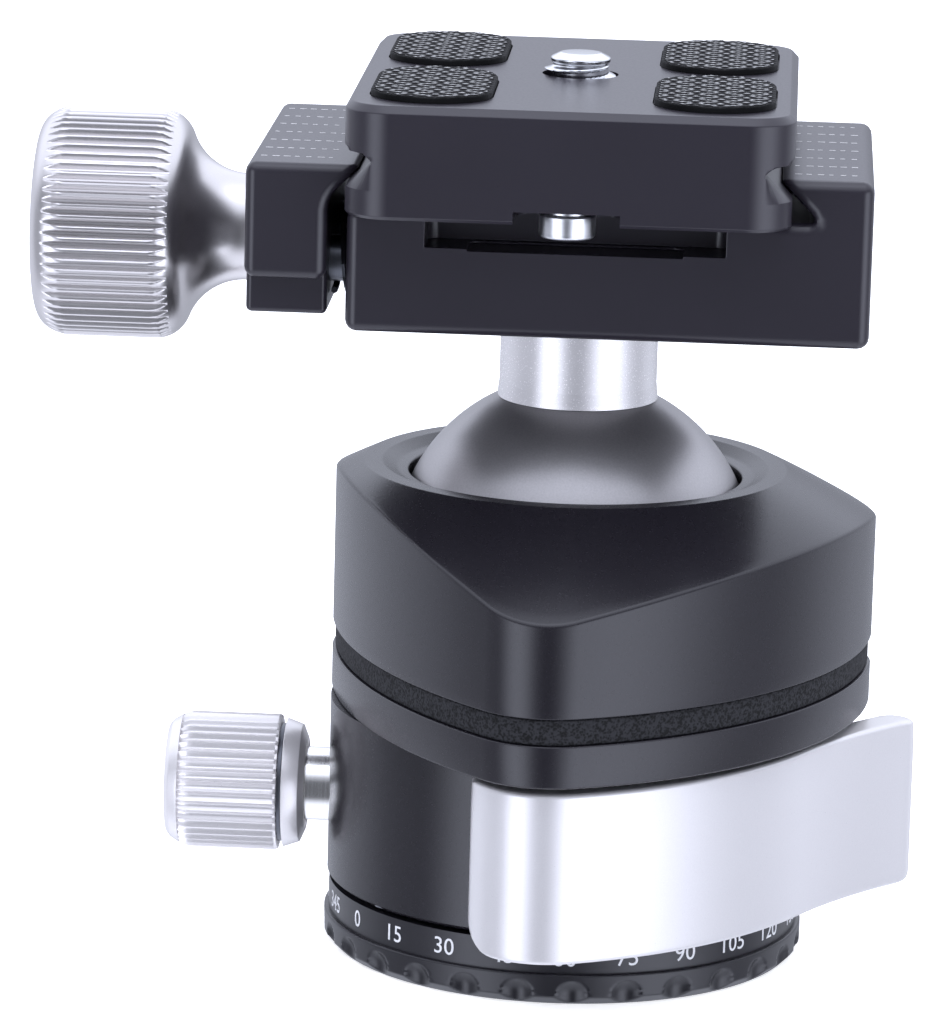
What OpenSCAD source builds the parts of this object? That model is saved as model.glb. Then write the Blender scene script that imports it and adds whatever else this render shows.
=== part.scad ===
// Tripod ball head with a wrap-round locking lever and a quick-release clamp.
// Millimetres, +Z up. The origin is the mouth of the tripod thread, on the pan axis.
// The clamp's channel runs along Y, its jaws and its knob lie along X.

/* [Pan base] */
// How far the scalloped rim stands out past the lower body
base_over = 0.2; // [0:0.05:1.5]
// Height of the scalloped rim
base_h = 2.8; // [2.4:0.1:4]
// Chamfer under the rim
base_chamfer = 0.8; // [0.3:0.1:1.2]
// Number of scallops round the rim
scallop_count = 28; // [18:1:32]
// Radius of the round cutter that makes one scallop
scallop_r = 2.2; // [1.5:0.1:2.6]
// Depth of a scallop
scallop_depth = 0.55; // [0.2:0.05:0.8]
// How far the numbered ring lies inside the lower body's face
scale_inset = 0.2; // [0:0.05:0.8]
// Height of the numbered ring
scale_h = 2.8; // [2:0.1:4]
// Radius of the tripod thread's bore
thread_r = 3.97; // [3:0.01:4.2]
// Radius of the thread insert
insert_r = 6.2; // [5.2:0.1:7]
// Length of the thread insert
insert_h = 11; // [8:0.5:13]

/* [Pan bearing] */
// Wall of the lower body outside the pan spigot
spigot_wall = 8.7; // [8.2:0.1:9.5]
// Height of the spigot above the rim
spigot_h = 14.2; // [13.5:0.1:15]
// Depth of the brake groove in the spigot
groove_depth = 1.2; // [0.5:0.1:1.8]
// Height of the brake groove
groove_h = 5.2; // [4.8:0.1:6]
// Wall of the pan bushing
bushing_t = 1.3; // [0.8:0.1:1.6]
// Height of the pan bushing
bushing_h = 4; // [2:0.1:4.2]
// Thickness of the retaining washer
retainer_t = 1.4; // [1:0.1:1.6]
// Depth of a base screw in the spigot
base_screw_in = 4; // [3:0.1:5]
// Length of a retaining screw
retainer_screw_l = 7.7; // [5:0.1:9]

/* [Lower housing] */
// Wall of the round lower body outside the ball's chamber
body_wall = 4.2; // [3.9:0.1:5]
// Height of the round lower body
body_h = 16.1; // [16:0.1:18]
// Gap between the numbered ring and the lower body
pan_gap = 0.4; // [0.2:0.1:0.8]
// Wall of the lower body outside the cam ring
cam_wall = 3.1; // [2.8:0.1:3.3]
// Radius of a housing screw
housing_screw_r = 0.9; // [0.6:0.1:1]

/* [Upper housing] */
// Corner radius over the lever
corner_front_r = 7.4; // [6:0.1:9]
// How far the front corner's centre lies outside the lower body
corner_front_out = 3.1; // [2:0.1:4]
// Corner radius at the right
corner_right_r = 7.25; // [6:0.05:9]
// How far the right corner's centre lies inside the lower body
corner_right_in = 1.3; // [0.3:0.1:2]
// How much smaller the wide corner at the back left is than the lower body
corner_left_in = 4.3; // [3.5:0.1:4.8]
// Distance of the wide corner's centre from the pan axis
corner_left_d = 5.7; // [5.2:0.1:6]
// Radius of the side between the front and the right corner
side_fr_r = 40; // [36:1:60]
// Radius of the side at the back
side_rl_r = 50; // [40:1:55]
// Radius of the side between the wide and the front corner
side_lf_r = 54; // [45:1:60]
// Height of the skirt under the grip band
skirt_h = 3.7; // [3:0.1:5]
// Height of the grip band
band_h = 2.35; // [1.5:0.05:3]
// Thickness of the grip band
band_t = 0.75; // [0.5:0.05:0.9]
// How far the band lies below the housing's face
band_inset = 0.25; // [0.1:0.05:0.4]
// Width of the flat land round the socket
land_w = 1.6; // [0.8:0.1:1.8]
// Slope of the sloping top outside the land
top_fall = 0.474; // [0.3:0.01:0.55]
// Bow of the sloping top, in millimetres per square millimetre
top_bow = 0.007; // [0:0.001:0.012]
// Width of the relief round the opening
relief_w = 2.35; // [1.5:0.05:2.5]
// Depth of the relief round the opening
relief_depth = 0.8; // [0.4:0.1:1.2]
// Thickness of the lip that holds the upper seat
lip_t = 1.2; // [0.8:0.1:1.5]
// Gap between the ball and its chamber
chamber_gap = 1; // [0.9:0.05:1.2]

/* [Ball] */
// Radius of the ball
ball_r = 16; // [14:0.1:18]
// Gap between the ball and the retaining washer below it
ball_gap = 0.9; // [0.6:0.1:1.5]
// Depth of the ball's centre below the land
ball_drop = 8.3; // [8:0.1:9]
// Height of the flat cut at the ball's foot above its lowest point
ball_cut = 3; // [1:0.1:4]
// Radius of the stem
stem_r = 6.95; // [6.5:0.05:7.2]
// Height of the stem's top above the ball
stem_l = 6.6; // [5:0.1:12]
// Radius of the stem's spigot in the ball
stem_spigot_r = 4.5; // [4:0.1:5]
// Length of the stem's spigot below the top of the ball
stem_spigot_h = 12; // [8:0.5:14]
// Height of the lower cup
cup_h = 4.6; // [4:0.1:5]
// Height of the lower cup's foot above the ball's lowest point
cup_up = 4.5; // [4.2:0.1:4.8]
// Height of the upper seat ring
seat_h = 3.6; // [2.5:0.1:4]
// Height of the wave spring
spring_h = 1.1; // [0.9:0.1:1.3]

/* [Ball lock] */
// Height of the lift ring
lift_h = 3.4; // [3:0.1:3.6]
// Gap between the lift ring and the ball inside it
lift_clear = 0.85; // [0.5:0.05:1.2]
// Wall of the cam ring
cam_t = 2.7; // [2.2:0.1:3]
// Height of the cam ring
cam_h = 4.6; // [4.2:0.1:4.8]
// Height of the lever
lever_h = 15; // [12:0.1:15.3]
// Gap between the lever and the skirt above it
lever_gap = 0.7; // [0.4:0.1:1]
// How far the lever's face lies inside the housing's outline
lever_inset = 0.9; // [0.4:0.1:1.4]
// Distance of the lever's left edge from the pan axis
lever_left = 7.1; // [6:0.1:9]
// Direction of the side's normal where the lever starts to flare, in degrees below +X
lever_flare_turn = 29; // [20:1:34]
// Radius of the flare
lever_flare_r = 56; // [40:1:70]
// Sweep of the flare
lever_flare_sweep = 16; // [12:1:18]
// Thickness of the finger tab
lever_tab_t = 3.2; // [2.4:0.1:4]
// Radius of a lever screw
lever_screw_r = 1; // [0.8:0.1:1.1]
// Swing of the lever from locked to open, in degrees
lever_swing = 55; // [20:1:55]

/* [Pan lock] */
// Height of the pan-lock screw above the lower body's foot
lock_up = 7.3; // [7.1:0.05:8.5]
// Radius of the pan-lock knob
lock_knob_r = 6.1; // [5:0.05:7]
// Length of the pan-lock knob
lock_knob_l = 12.45; // [10:0.05:16]
// Gap between the lower body and the pan-lock knob
lock_knob_gap = 2.05; // [1:0.05:4]
// Radius of the polished shaft
lock_shaft_r = 3.3; // [2.8:0.1:4]
// Radius of the threaded end
lock_thread_r = 2.5; // [2:0.1:2.6]
// Length of the brake pad
pad_l = 2.6; // [2:0.1:3]

/* [Clamp] */
// Width of the deck from the jaw end to the far side
deck_w = 44.7; // [43:0.1:46]
// Distance of the deck's jaw end from the stem axis
deck_left = 19.5; // [19.2:0.1:20.2]
// Depth of the clamp along its channel
clamp_d = 35; // [30:0.5:40]
// Height of the deck
deck_h = 10.7; // [10.4:0.1:12]
// Height of the jaws above the deck
jaw_rise = 3.7; // [3:0.1:4]
// Thickness of the sliding jaw
jaw_t = 7; // [6:0.1:9]
// Gap between the sliding jaw and the deck
jaw_gap = 1.7; // [1.5:0.1:4.5]
// Height of the sliding jaw's foot above the deck's foot
jaw_foot = 1; // [0.5:0.1:2]
// Height of the sliding jaw's set-back foot
jaw_step_h = 3.4; // [2:0.1:4]
// How far the foot is set back from the jaw's faces
jaw_step = 2.5; // [1:0.1:4]
// Width of the recess in the deck
recess_w = 25.6; // [14:0.1:28]
// Depth of the recess below the deck
recess_depth = 3.1; // [2.4:0.1:3.4]
// Length of the recess from each face
recess_l = 4.8; // [4:0.1:6]
// Edge chamfer of the clamp
clamp_edge = 0.6; // [0.2:0.1:1]
// Radius of a guide rod
rod_r = 2; // [1.5:0.1:2.2]
// Distance of the guide rods from the middle
rod_y = 11; // [10:0.1:12.5]
// Height of the rods above the deck's foot
rod_up = 5.3; // [5:0.1:5.4]
// Height of the clamp knob's axis above the deck's foot
knob_up = 5.85; // [5.4:0.05:6.2]
// How far a guide rod reaches into the deck
rod_in = 20; // [14:0.5:24]
// Wire radius of a jaw spring
jaw_wire_r = 0.3; // [0.2:0.05:0.35]

/* [Clamp knob] */
// Radius of the clamp knob
knob_r = 10.1; // [9:0.1:11]
// Length of the knob's drum
knob_l = 10.55; // [8:0.05:14]
// Length of the knob's flared neck, up to the drum
knob_neck_l = 8.6; // [7:0.1:10]
// Radius of the knob's neck
knob_neck_r = 4.7; // [4.2:0.1:5.2]
// Radius of the shoulder between neck and drum
knob_shoulder_r = 2.9; // [1:0.1:3.4]
// Radius of the clamp screw
clamp_screw_r = 2.5; // [2:0.1:2.7]

/* [Quick-release plate] */
// Width of the plate across the jaws
plate_w = 38; // [37.5:0.1:38.5]
// Length of the plate along the channel
plate_l = 46.6; // [42:0.1:60]
// Thickness of the plate
plate_t = 9.65; // [9:0.05:11]
// Distance of the plate's middle from the stem axis
plate_off = 0.6; // [0:0.1:0.8]
// Corner radius of the plate
plate_corner = 4; // [2:0.1:5]
// Depth of the dovetail groove
groove_in = 2.6; // [2.2:0.1:2.8]
// Height of the groove's root above the plate's foot
groove_up = 4.8; // [4.6:0.1:5]
// Width of a grip pad
pad_w = 10.3; // [8:0.1:12]
// Length of a grip pad
pad_len = 19; // [14:0.1:20]
// Distance of the grip pads from the plate's middle, across the jaws
pad_x = 12; // [11:0.1:12.2]
// Distance of the grip pads from the plate's middle, along the channel
pad_y = 11.3; // [10.6:0.1:11.8]
// Height of the grip pads above the plate
pad_rise = 0.6; // [0.3:0.1:1]
// Depth of the grip pads' pockets
pad_pocket = 0.5; // [0.3:0.1:0.8]
// Radius of the camera screw
camera_r = 3.175; // [2.9:0.005:3.2]
// Height of the camera screw above the plate
camera_rise = 1.9; // [1.5:0.1:5]
// Radius of the camera screw's head
camera_head_r = 6; // [5:0.1:6.2]
// Height of the camera screw's head
camera_head_h = 2.6; // [2:0.1:3]
// Distance of the stop screws from the plate's middle
stop_y = 20.3; // [20.1:0.1:20.6]
// Radius of a stop screw's head
stop_r = 2.4; // [2:0.05:2.4]
// Height of a stop screw's head
stop_h = 2; // [1.5:0.1:2.4]

/* [Hidden] */

round_fn = 96;
small_fn = 40;
eps = 0.01;
run = 0.04;             // running clearance of a shaft in its hole
fit = 0.02;             // clearance of a piece fixed in its seat
face_gap = 0.05;        // gap between faces that slide past each other
free = 0.3;             // gap between curved faces that only pass each other

// Radii from the ball outwards
chamber_r = ball_r + chamber_gap;
body_r = chamber_r + body_wall;
base_r = body_r + base_over;
scale_r = body_r - scale_inset;
spigot_r = body_r - spigot_wall;
cam_chamber_r = body_r - cam_wall;
housing_pcd_r = body_r - cam_wall / 2;

// Heights from the tripod up
scale_z = base_h;
body_z = base_h + scale_h + pan_gap;
upper_z = body_z + body_h;
band_z = upper_z + skirt_h;
spigot_z = base_h + spigot_h;
ball_z = spigot_z + retainer_t + ball_gap + ball_r;
land_z = ball_z + ball_drop;
upper_h = land_z - upper_z;
shoulder_z = spigot_z - face_gap;
lock_z = body_z + lock_up;
clamp_z = ball_z + ball_r + stem_l;
deck_z = clamp_z + deck_h;
jaw_z = deck_z + jaw_rise;
plate_z = deck_z + face_gap;
top_z = plate_z + plate_t;
knob_z = clamp_z + knob_up;
lever_z = upper_z - lever_gap - lever_h;

// Pan bearing
bush_r = spigot_r + bushing_t;
screw_m3_r = 1.45;
insert_flange_h = 1.2;
insert_flange_t = 1;
base_screw_d = (insert_r + insert_flange_t + spigot_r) / 2;
groove_root_r = spigot_r - groove_depth;
retainer_screw_d = (insert_r + groove_root_r) / 2;
screw_room = 0.3;

// Upper housing outline: three corner circles, three side arcs
corner_c = [(body_r + corner_front_out) * [cos(-92), sin(-92)], (body_r - corner_right_in) * [cos(10.6), sin(10.6)],
    corner_left_d * [cos(142.7), sin(142.7)]];
corner_r = [corner_front_r, corner_right_r, body_r - corner_left_in];
side_r = [side_fr_r, side_rl_r, side_lf_r];
band_slot = band_t + band_inset;
corner_steps = 14;
side_steps = 8;

function unit(v) = v / norm(v);
// Centre of an arc of radius r that touches two circles from outside, round their left side
function arc_centre(c1, r1, c2, r2, r) =
    let (d = norm(c2 - c1), a = r - r1, b = r - r2, x = (a * a - b * b + d * d) / (2 * d))
    c1 + x * unit(c2 - c1) + sqrt(a * a - x * x) * [-(c2 - c1)[1], (c2 - c1)[0]] / d;
side_c = [for (i = [0:2]) let (j = (i + 1) % 3)
    arc_centre(corner_c[i], corner_r[i], corner_c[j], corner_r[j], side_r[i])];
function turn_of(v) = atan2(v[1], v[0]);
// Points of an arc round c, from direction a on through a turn t, without its last point
function arc(c, r, a, t, n) = [for (k = [0:n - 1]) c + r * [cos(a + t * k / n), sin(a + t * k / n)]];
function turn_between(a, b) = (b - a + 720) % 360;
// The outline, grown outwards by a distance: at each corner its own arc, then the side after it
function outline(grow) = [for (i = [0:2]) each let (j = (i + 1) % 3, h = (i + 2) % 3,
    from = turn_of(corner_c[i] - side_c[h]), to = turn_of(corner_c[i] - side_c[i]),
    next = turn_of(corner_c[j] - side_c[i])) concat(
        arc(corner_c[i], corner_r[i] + grow, from, turn_between(from, to), corner_steps),
        arc(side_c[i], side_r[i] + grow, to, turn_between(to, next), side_steps))];

// Socket: the lip's lower edge just clears the ball
mouth_r = sqrt(pow(ball_r, 2) - pow(ball_drop - relief_depth - lip_t, 2)) + run;
relief_r = mouth_r + relief_w;
land_r = relief_r + land_w;

// Height of the sloping top at a distance r from the axis
function top_height(r) = land_z - top_fall * (r - land_r) - top_bow * pow(r - land_r, 2);
top_reach = body_r + 17;
top_steps = 14;

// Ball lock
cup_z = ball_z - ball_r + cup_up;
spring_z = cup_z - face_gap - spring_h;
lift_z = spring_z - face_gap - lift_h;
cam_z = shoulder_z + face_gap;
cam_r = cam_chamber_r - 0.15;
cam_bore_r = cam_r - cam_t;
lift_r = cam_bore_r - run;
lift_bore_r = sqrt(pow(ball_r, 2) - pow(ball_z - lift_z - lift_h, 2)) + lift_clear;
retainer_r = cam_bore_r - 0.75;
seat_top = land_z - relief_depth - lip_t;
cup_r = chamber_r - 0.1;
cup_clear = 0.06;
lever_bore_r = body_r + free;
lever_screw_z = cam_z + 2.4;
lever_screw_at = [-48, -34];
lever_screw_in = 2.2;
lever_head_r = lever_screw_r * 1.6;
slot_from = lever_screw_at[0] - lever_swing - 3.5;
slot_to = lever_screw_at[1] + 3.5;
housing_screw_at = [8, 108, 158, -138];
housing_screw_l = body_h + 3;

// Flare of the lever
flare_start = side_c[0] + (side_fr_r - lever_inset) * [cos(-lever_flare_turn), sin(-lever_flare_turn)];
flare_c = flare_start + lever_flare_r * [cos(-lever_flare_turn), sin(-lever_flare_turn)];

// Pan lock
pad_r = lock_thread_r - 0.1;
pad_tip = groove_root_r + face_gap;
pad_nose_r = groove_h / 2 - groove_depth / 2 - free;
lock_x = body_r + lock_knob_gap;
lock_tip = pad_tip + pad_l + face_gap;
shaft_seat = 0.6;

// Clamp
deck_right = deck_w - deck_left;
jaw_right = deck_left + jaw_gap;
jaw_left = jaw_right + jaw_t;
dovetail_line = plate_w / 2 - groove_in + groove_up + plate_z;
jaw_slot_x = dovetail_line - deck_z + face_gap;
jaw_tip_x = dovetail_line - jaw_z + face_gap;
bolt_r = 3;
bolt_head_r = 5.4;
bolt_head_h = 2.6;
bolt_sunk = 0.8;
bolt_l = 22;
pin_r = 1;
pin_d = 5.3;
pin_l = 5;
screw_in = 12.5;
spring_r = rod_r + 0.85;
spring_seat_r = spring_r + 0.45;
spring_seat_l = 6;
spring_turns = 5;
rod_jaw_in = jaw_t - 1.5;

// Clamp knob
knob_x = jaw_left + 0.45;
washer_t = 0.35;
knob_end_x = knob_x + knob_neck_l + knob_l;
// The neck's hollow arc touches the neck 0.8 mm out and runs on into the shoulder's arc
knob_flare_x = 0.8;
knob_flare_l = knob_neck_l - knob_flare_x;
knob_flare_r = (pow(knob_flare_l, 2) + pow(knob_r - knob_neck_r, 2)) / 2 / (knob_r - knob_neck_r) - knob_shoulder_r;
knob_flare_turn = asin(knob_flare_l / (knob_flare_r + knob_shoulder_r));
knob_cap_r = 6;
knob_cap_h = 0.8;

// Plate
plate_flange_x = plate_w / 2 - 0.15;
camera_clear_r = camera_r + 0.15;
camera_bore_r = camera_head_r + free;
camera_point = 0.7;
clip_up = 0.4;
clip_t = 0.5;
clip_r = camera_bore_r + 0.5;
head_up = clip_up + clip_t + face_gap;
head_room = head_up + camera_head_h + 0.7;
stop_neck_r = 1.9;
stop_drop = 1.35;
stop_in = 4;
notch_w = 9;
notch_h = 1.1;
notch_l = 5.8;
slot_r = 1;             // radius of the inner corners of the recesses and notches
floor_step = 0.2;       // depth of the shallow step in a recess's floor

/* ---- shared shapes ---- */

// Outline of the upper housing, grown outwards by a distance
module plan(grow = 0) {
    polygon(outline(grow));
}

// Wedge between two directions, for cutting windows
module wedge(from, to, r) {
    polygon([[0, 0], for (i = [0:6]) r * [cos(from + (to - from) * i / 6), sin(from + (to - from) * i / 6)]]);
}

module ring(outer, inner, h) {
    difference() {
        cylinder(r = outer, h = h, $fn = round_fn);
        translate([0, 0, -eps]) cylinder(r = inner, h = h + 2 * eps, $fn = round_fn);
    }
}

// Cylinder along X, from x1 to x2
module rod_x(x1, x2, r, fn = small_fn) {
    translate([min(x1, x2), 0, 0]) rotate([0, 90, 0]) cylinder(r = r, h = abs(x2 - x1), $fn = fn);
}

// Bar along Y with a profile drawn in X and Z
module bar_y(length) {
    translate([0, length / 2, 0]) rotate([90, 0, 0]) linear_extrude(height = length) children();
}

// Screw with a flat head, standing on its head's top at z = 0 and pointing up
module screw_up(r, length, head_r, head_h) {
    cylinder(r = head_r, h = head_h, $fn = small_fn);
    cylinder(r = r, h = length, $fn = small_fn);
}

// Wire coil along Z, from the middle of its first turn to the middle of its last
module coil(r, wire, length, turns, steps = 16, sides = 6) {
    n = turns * steps;
    pts = [for (i = [0:n], k = [0:sides - 1]) let (a = 360 * i / steps, b = 360 * k / sides, q = r + wire * cos(b))
        [q * cos(a), q * sin(a), length * i / n + wire * sin(b)]];
    polyhedron(points = pts, faces = concat(
        [[for (k = [0:sides - 1]) k]],
        [for (i = [0:n - 1], k = [0:sides - 1]) let (m = (k + 1) % sides)
            [i * sides + k, (i + 1) * sides + k, (i + 1) * sides + m, i * sides + m]],
        [[for (k = [sides - 1:-1:0]) n * sides + k]]));
}

/* ---- pan base ---- */

module pan_base() {
    color("#26262a") difference() {
        union() {
            cylinder(r1 = base_r - base_chamfer, r2 = base_r, h = base_chamfer, $fn = round_fn);
            translate([0, 0, base_chamfer]) cylinder(r = base_r, h = base_h - base_chamfer, $fn = round_fn);
        }
        for (i = [0:scallop_count - 1]) rotate(360 * i / scallop_count - 85.1)
            translate([base_r + scallop_r - scallop_depth, 0, -eps])
                cylinder(r = scallop_r, h = base_h * 0.82, $fn = 24);
        translate([0, 0, -eps]) cylinder(r = insert_r + fit, h = base_h + 2 * eps, $fn = round_fn);
        translate([0, 0, -eps])
            cylinder(r = insert_r + insert_flange_t + fit, h = insert_flange_h + fit, $fn = round_fn);
        for (i = [0:3]) rotate(90 * i + 45) translate([base_screw_d, 0, -eps]) {
            cylinder(r = screw_m3_r + fit, h = base_h + 2 * eps, $fn = small_fn);
            cylinder(r = screw_m3_r * 1.7 + fit, h = base_h * 0.5, $fn = small_fn);
        }
    }
}

module scale_ring() {
    color("#26262a") translate([0, 0, scale_z]) ring(scale_r, spigot_r + free + 1, scale_h);
}

module tripod_insert() {
    color("#b9bcc2") difference() {
        union() {
            cylinder(r = insert_r, h = insert_h, $fn = round_fn);
            cylinder(r = insert_r + insert_flange_t, h = insert_flange_h, $fn = round_fn);
        }
        translate([0, 0, -eps]) cylinder(r = thread_r, h = insert_h + 2 * eps, $fn = round_fn);
    }
}

module pan_spigot() {
    color("#8d9096") difference() {
        translate([0, 0, scale_z]) rotate_extrude($fn = round_fn) polygon([[insert_r + fit, 0],
            [spigot_r + 0.9, 0], [spigot_r + 0.9, scale_h], [spigot_r, scale_h],
            [spigot_r, lock_z - groove_h / 2 - scale_z], [groove_root_r, lock_z - groove_h / 2 + groove_depth / 2 - scale_z],
            [groove_root_r, lock_z + groove_h / 2 - groove_depth / 2 - scale_z], [spigot_r, lock_z + groove_h / 2 - scale_z],
            [spigot_r, spigot_h], [insert_r + fit, spigot_h]]);
        for (i = [0:3]) rotate(90 * i + 45) translate([base_screw_d, 0, scale_z - eps])
            cylinder(r = screw_m3_r + fit, h = base_screw_in + screw_room, $fn = small_fn);
        for (i = [0:2]) rotate(120 * i) translate([retainer_screw_d, 0, spigot_z - retainer_screw_l - screw_room + retainer_t])
                cylinder(r = screw_m3_r + fit, h = retainer_screw_l + screw_room, $fn = small_fn);
    }
}

module base_screws() {
    color("#9a9ca2") for (i = [0:3]) rotate(90 * i + 45) translate([base_screw_d, 0, 0.2])
        screw_up(screw_m3_r, base_h + base_screw_in - 0.2, screw_m3_r * 1.7, base_h * 0.5 - 0.3);
}

module pan_retainer() {
    color("#9a9ca2") difference() {
        translate([0, 0, spigot_z]) ring(retainer_r, insert_r, retainer_t);
        for (i = [0:2]) rotate(120 * i) translate([retainer_screw_d, 0, spigot_z - eps]) {
            cylinder(r = screw_m3_r + fit, h = retainer_t + 2 * eps, $fn = small_fn);
            translate([0, 0, retainer_t * 0.4]) cylinder(r = screw_m3_r * 1.6 + fit, h = retainer_t, $fn = small_fn);
        }
    }
}

module retainer_screws() {
    color("#6f7278") for (i = [0:2]) rotate(120 * i)
        translate([retainer_screw_d, 0, spigot_z + retainer_t]) rotate([180, 0, 0])
            screw_up(screw_m3_r, retainer_screw_l, screw_m3_r * 1.6, retainer_t * 0.6 - fit);
}

/* ---- housing ---- */

module pan_bushing() {
    color("#c9a35a") translate([0, 0, body_z + free]) ring(bush_r - fit, spigot_r + run, bushing_h);
}

module lower_housing() {
    color("#2c2b31") difference() {
        translate([0, 0, body_z]) rotate_extrude($fn = round_fn) polygon([[bush_r, 0],
            [body_r - 0.3, 0], [body_r, 0.3], [body_r, body_h], [cam_chamber_r, body_h],
            [cam_chamber_r, shoulder_z - body_z], [spigot_r + free, shoulder_z - body_z],
            [spigot_r + free, free + bushing_h], [bush_r, free + bushing_h]]);
        // Window for the lever's screws
        translate([0, 0, lever_screw_z - lever_screw_r - 0.3])
            linear_extrude(height = 2 * lever_screw_r + 0.6) wedge(slot_from, slot_to, body_r * 1.3);
        // Pan-lock screw
        translate([0, 0, lock_z]) rod_x(-spigot_r + 2, -body_r - 1, lock_thread_r + run);
        translate([0, 0, lock_z]) rod_x(-body_r + shaft_seat, -body_r - 1, lock_shaft_r + 0.1);
        // Housing screws
        for (a = housing_screw_at) rotate(a) translate([housing_pcd_r, 0, body_z - eps]) {
            cylinder(r = housing_screw_r + fit, h = body_h + 2 * eps, $fn = small_fn);
            cylinder(r = housing_screw_r * 1.6 + fit, h = 1.2, $fn = small_fn);
        }
    }
}

module housing_screws() {
    color("#6f7278") for (a = housing_screw_at) rotate(a) translate([housing_pcd_r, 0, body_z + 0.1])
        screw_up(housing_screw_r, housing_screw_l - 0.3, housing_screw_r * 1.6, 1);
}

module upper_housing() {
    color("#2c2b31") difference() {
        intersection() {
            translate([0, 0, upper_z]) linear_extrude(height = upper_h) plan();
            rotate_extrude($fn = round_fn) polygon([[0, upper_z], [top_reach, upper_z],
                for (i = [top_steps:-1:0]) let (r = land_r + (top_reach - land_r) * i / top_steps)
                    [r, top_height(r)], [0, land_z]]);
        }
        // Groove for the grip band
        translate([0, 0, band_z]) linear_extrude(height = band_h) difference() {
            plan(2);
            plan(-band_slot);
        }
        // Ball chamber, lip, opening and relief
        rotate_extrude($fn = round_fn) polygon([[0, upper_z - 1], [chamber_r, upper_z - 1],
            [chamber_r, seat_top], [mouth_r, seat_top], [mouth_r, land_z - relief_depth],
            [relief_r, land_z], [relief_r, land_z + 1], [0, land_z + 1]]);
        for (a = housing_screw_at) rotate(a) translate([housing_pcd_r, 0, upper_z - eps])
            cylinder(r = housing_screw_r + fit, h = housing_screw_l - body_h, $fn = small_fn);
    }
}

module grip_band() {
    color("#222225") translate([0, 0, band_z + fit]) linear_extrude(height = band_h - 2 * fit) difference() {
        plan(-band_inset);
        plan(-band_slot + fit);
    }
}

module seat_ring() {
    color("#c9a35a") difference() {
        translate([0, 0, seat_top - fit - seat_h]) ring(chamber_r - fit, mouth_r - 0.4, seat_h);
        translate([0, 0, ball_z]) sphere(r = ball_r + cup_clear, $fn = round_fn);
    }
}

/* ---- ball lock ---- */

module lower_cup() {
    color("#c9a35a") difference() {
        translate([0, 0, cup_z]) cylinder(r = cup_r, h = cup_h, $fn = round_fn);
        translate([0, 0, ball_z]) sphere(r = ball_r + cup_clear, $fn = round_fn);
        translate([0, 0, cup_z - eps]) cylinder(r = lift_bore_r + 0.6, h = cup_h, $fn = round_fn);
    }
}

module wave_spring() {
    color("#b9bcc2") translate([0, 0, spring_z]) ring(lift_r - 0.6, lift_bore_r + 1.2, spring_h);
}

module lift_ring() {
    color("#9a9ca2") translate([0, 0, lift_z]) ring(lift_r, lift_bore_r, lift_h);
}

module cam_ring() {
    color("#9a9ca2") difference() {
        translate([0, 0, cam_z]) ring(cam_r, cam_bore_r, cam_h);
        for (a = lever_screw_at) rotate(a) translate([0, 0, lever_screw_z]) {
            rod_x(cam_bore_r - 1, cam_r + 1, lever_screw_r + fit);
            rod_x(cam_bore_r - 1, cam_bore_r + 1, lever_head_r + fit);
        }
    }
}

module lock_lever() {
    color("#c3c5cf") difference() {
        translate([0, 0, lever_z]) linear_extrude(height = lever_h) difference() {
            union() {
                intersection() {
                    plan(-lever_inset);
                    polygon([[-lever_left, -60], [60, -60], flare_c, [0, 0], [-lever_left, 0]]);
                }
                intersection() {
                    difference() {
                        translate(flare_c) circle(r = lever_flare_r + lever_tab_t, $fn = round_fn);
                        translate(flare_c) circle(r = lever_flare_r, $fn = round_fn);
                    }
                    translate(flare_c) wedge(180 - lever_flare_turn - lever_flare_sweep, 180 - lever_flare_turn + 0.5,
                        lever_flare_r * 1.3);
                }
                translate(flare_c) rotate(180 - lever_flare_turn - lever_flare_sweep)
                    translate([lever_flare_r + lever_tab_t / 2, 0]) circle(r = lever_tab_t / 2, $fn = small_fn);
            }
            circle(r = lever_bore_r, $fn = round_fn);
        }
        for (a = lever_screw_at) rotate(a) translate([0, 0, lever_screw_z])
            rod_x(body_r - 1, lever_bore_r + lever_screw_in, lever_screw_r + fit);
    }
}

module lever_screws() {
    color("#6f7278") for (a = lever_screw_at) rotate(a) translate([0, 0, lever_screw_z]) {
        rod_x(cam_bore_r + 0.15, lever_bore_r + lever_screw_in - 0.2, lever_screw_r);
        rod_x(cam_bore_r + 0.15, cam_bore_r + 0.95, lever_head_r);
    }
}

/* ---- pan lock ---- */

module pan_lock_knob() {
    color("#b4b5bf") translate([-lock_x, 0, lock_z]) rotate([0, -90, 0]) difference() {
        rotate_extrude($fn = round_fn) polygon([[0, 0], [lock_knob_r - 1.6, 0], [lock_knob_r - 0.85, 0.6],
            [lock_knob_r - 0.12, 2.3], [lock_knob_r, 2.9], [lock_knob_r, lock_knob_l - 2.2],
            [lock_knob_r - 0.75, lock_knob_l - 0.4], [lock_knob_r - 1.2, lock_knob_l], [0, lock_knob_l]]);
        translate([0, 0, -eps]) cylinder(r = lock_shaft_r + fit, h = 2, $fn = small_fn);
        translate([0, 0, -eps]) cylinder(r = lock_thread_r + fit, h = lock_knob_l - 2, $fn = small_fn);
    }
}

module pan_lock_screw() {
    color("#c9cbd1") translate([0, 0, lock_z]) {
        rod_x(-body_r + shaft_seat - face_gap, -lock_x - 1.9, lock_shaft_r, round_fn);
        rod_x(-lock_tip, -lock_x - lock_knob_l + 2.2, lock_thread_r);
    }
}

module pan_lock_pad() {
    color("#c9a35a") translate([-pad_tip, 0, lock_z]) rotate([0, -90, 0]) {
        cylinder(r1 = pad_nose_r, r2 = pad_r, h = groove_depth, $fn = small_fn);
        translate([0, 0, groove_depth - eps]) cylinder(r = pad_r, h = pad_l - groove_depth + eps, $fn = small_fn);
    }
}

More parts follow.
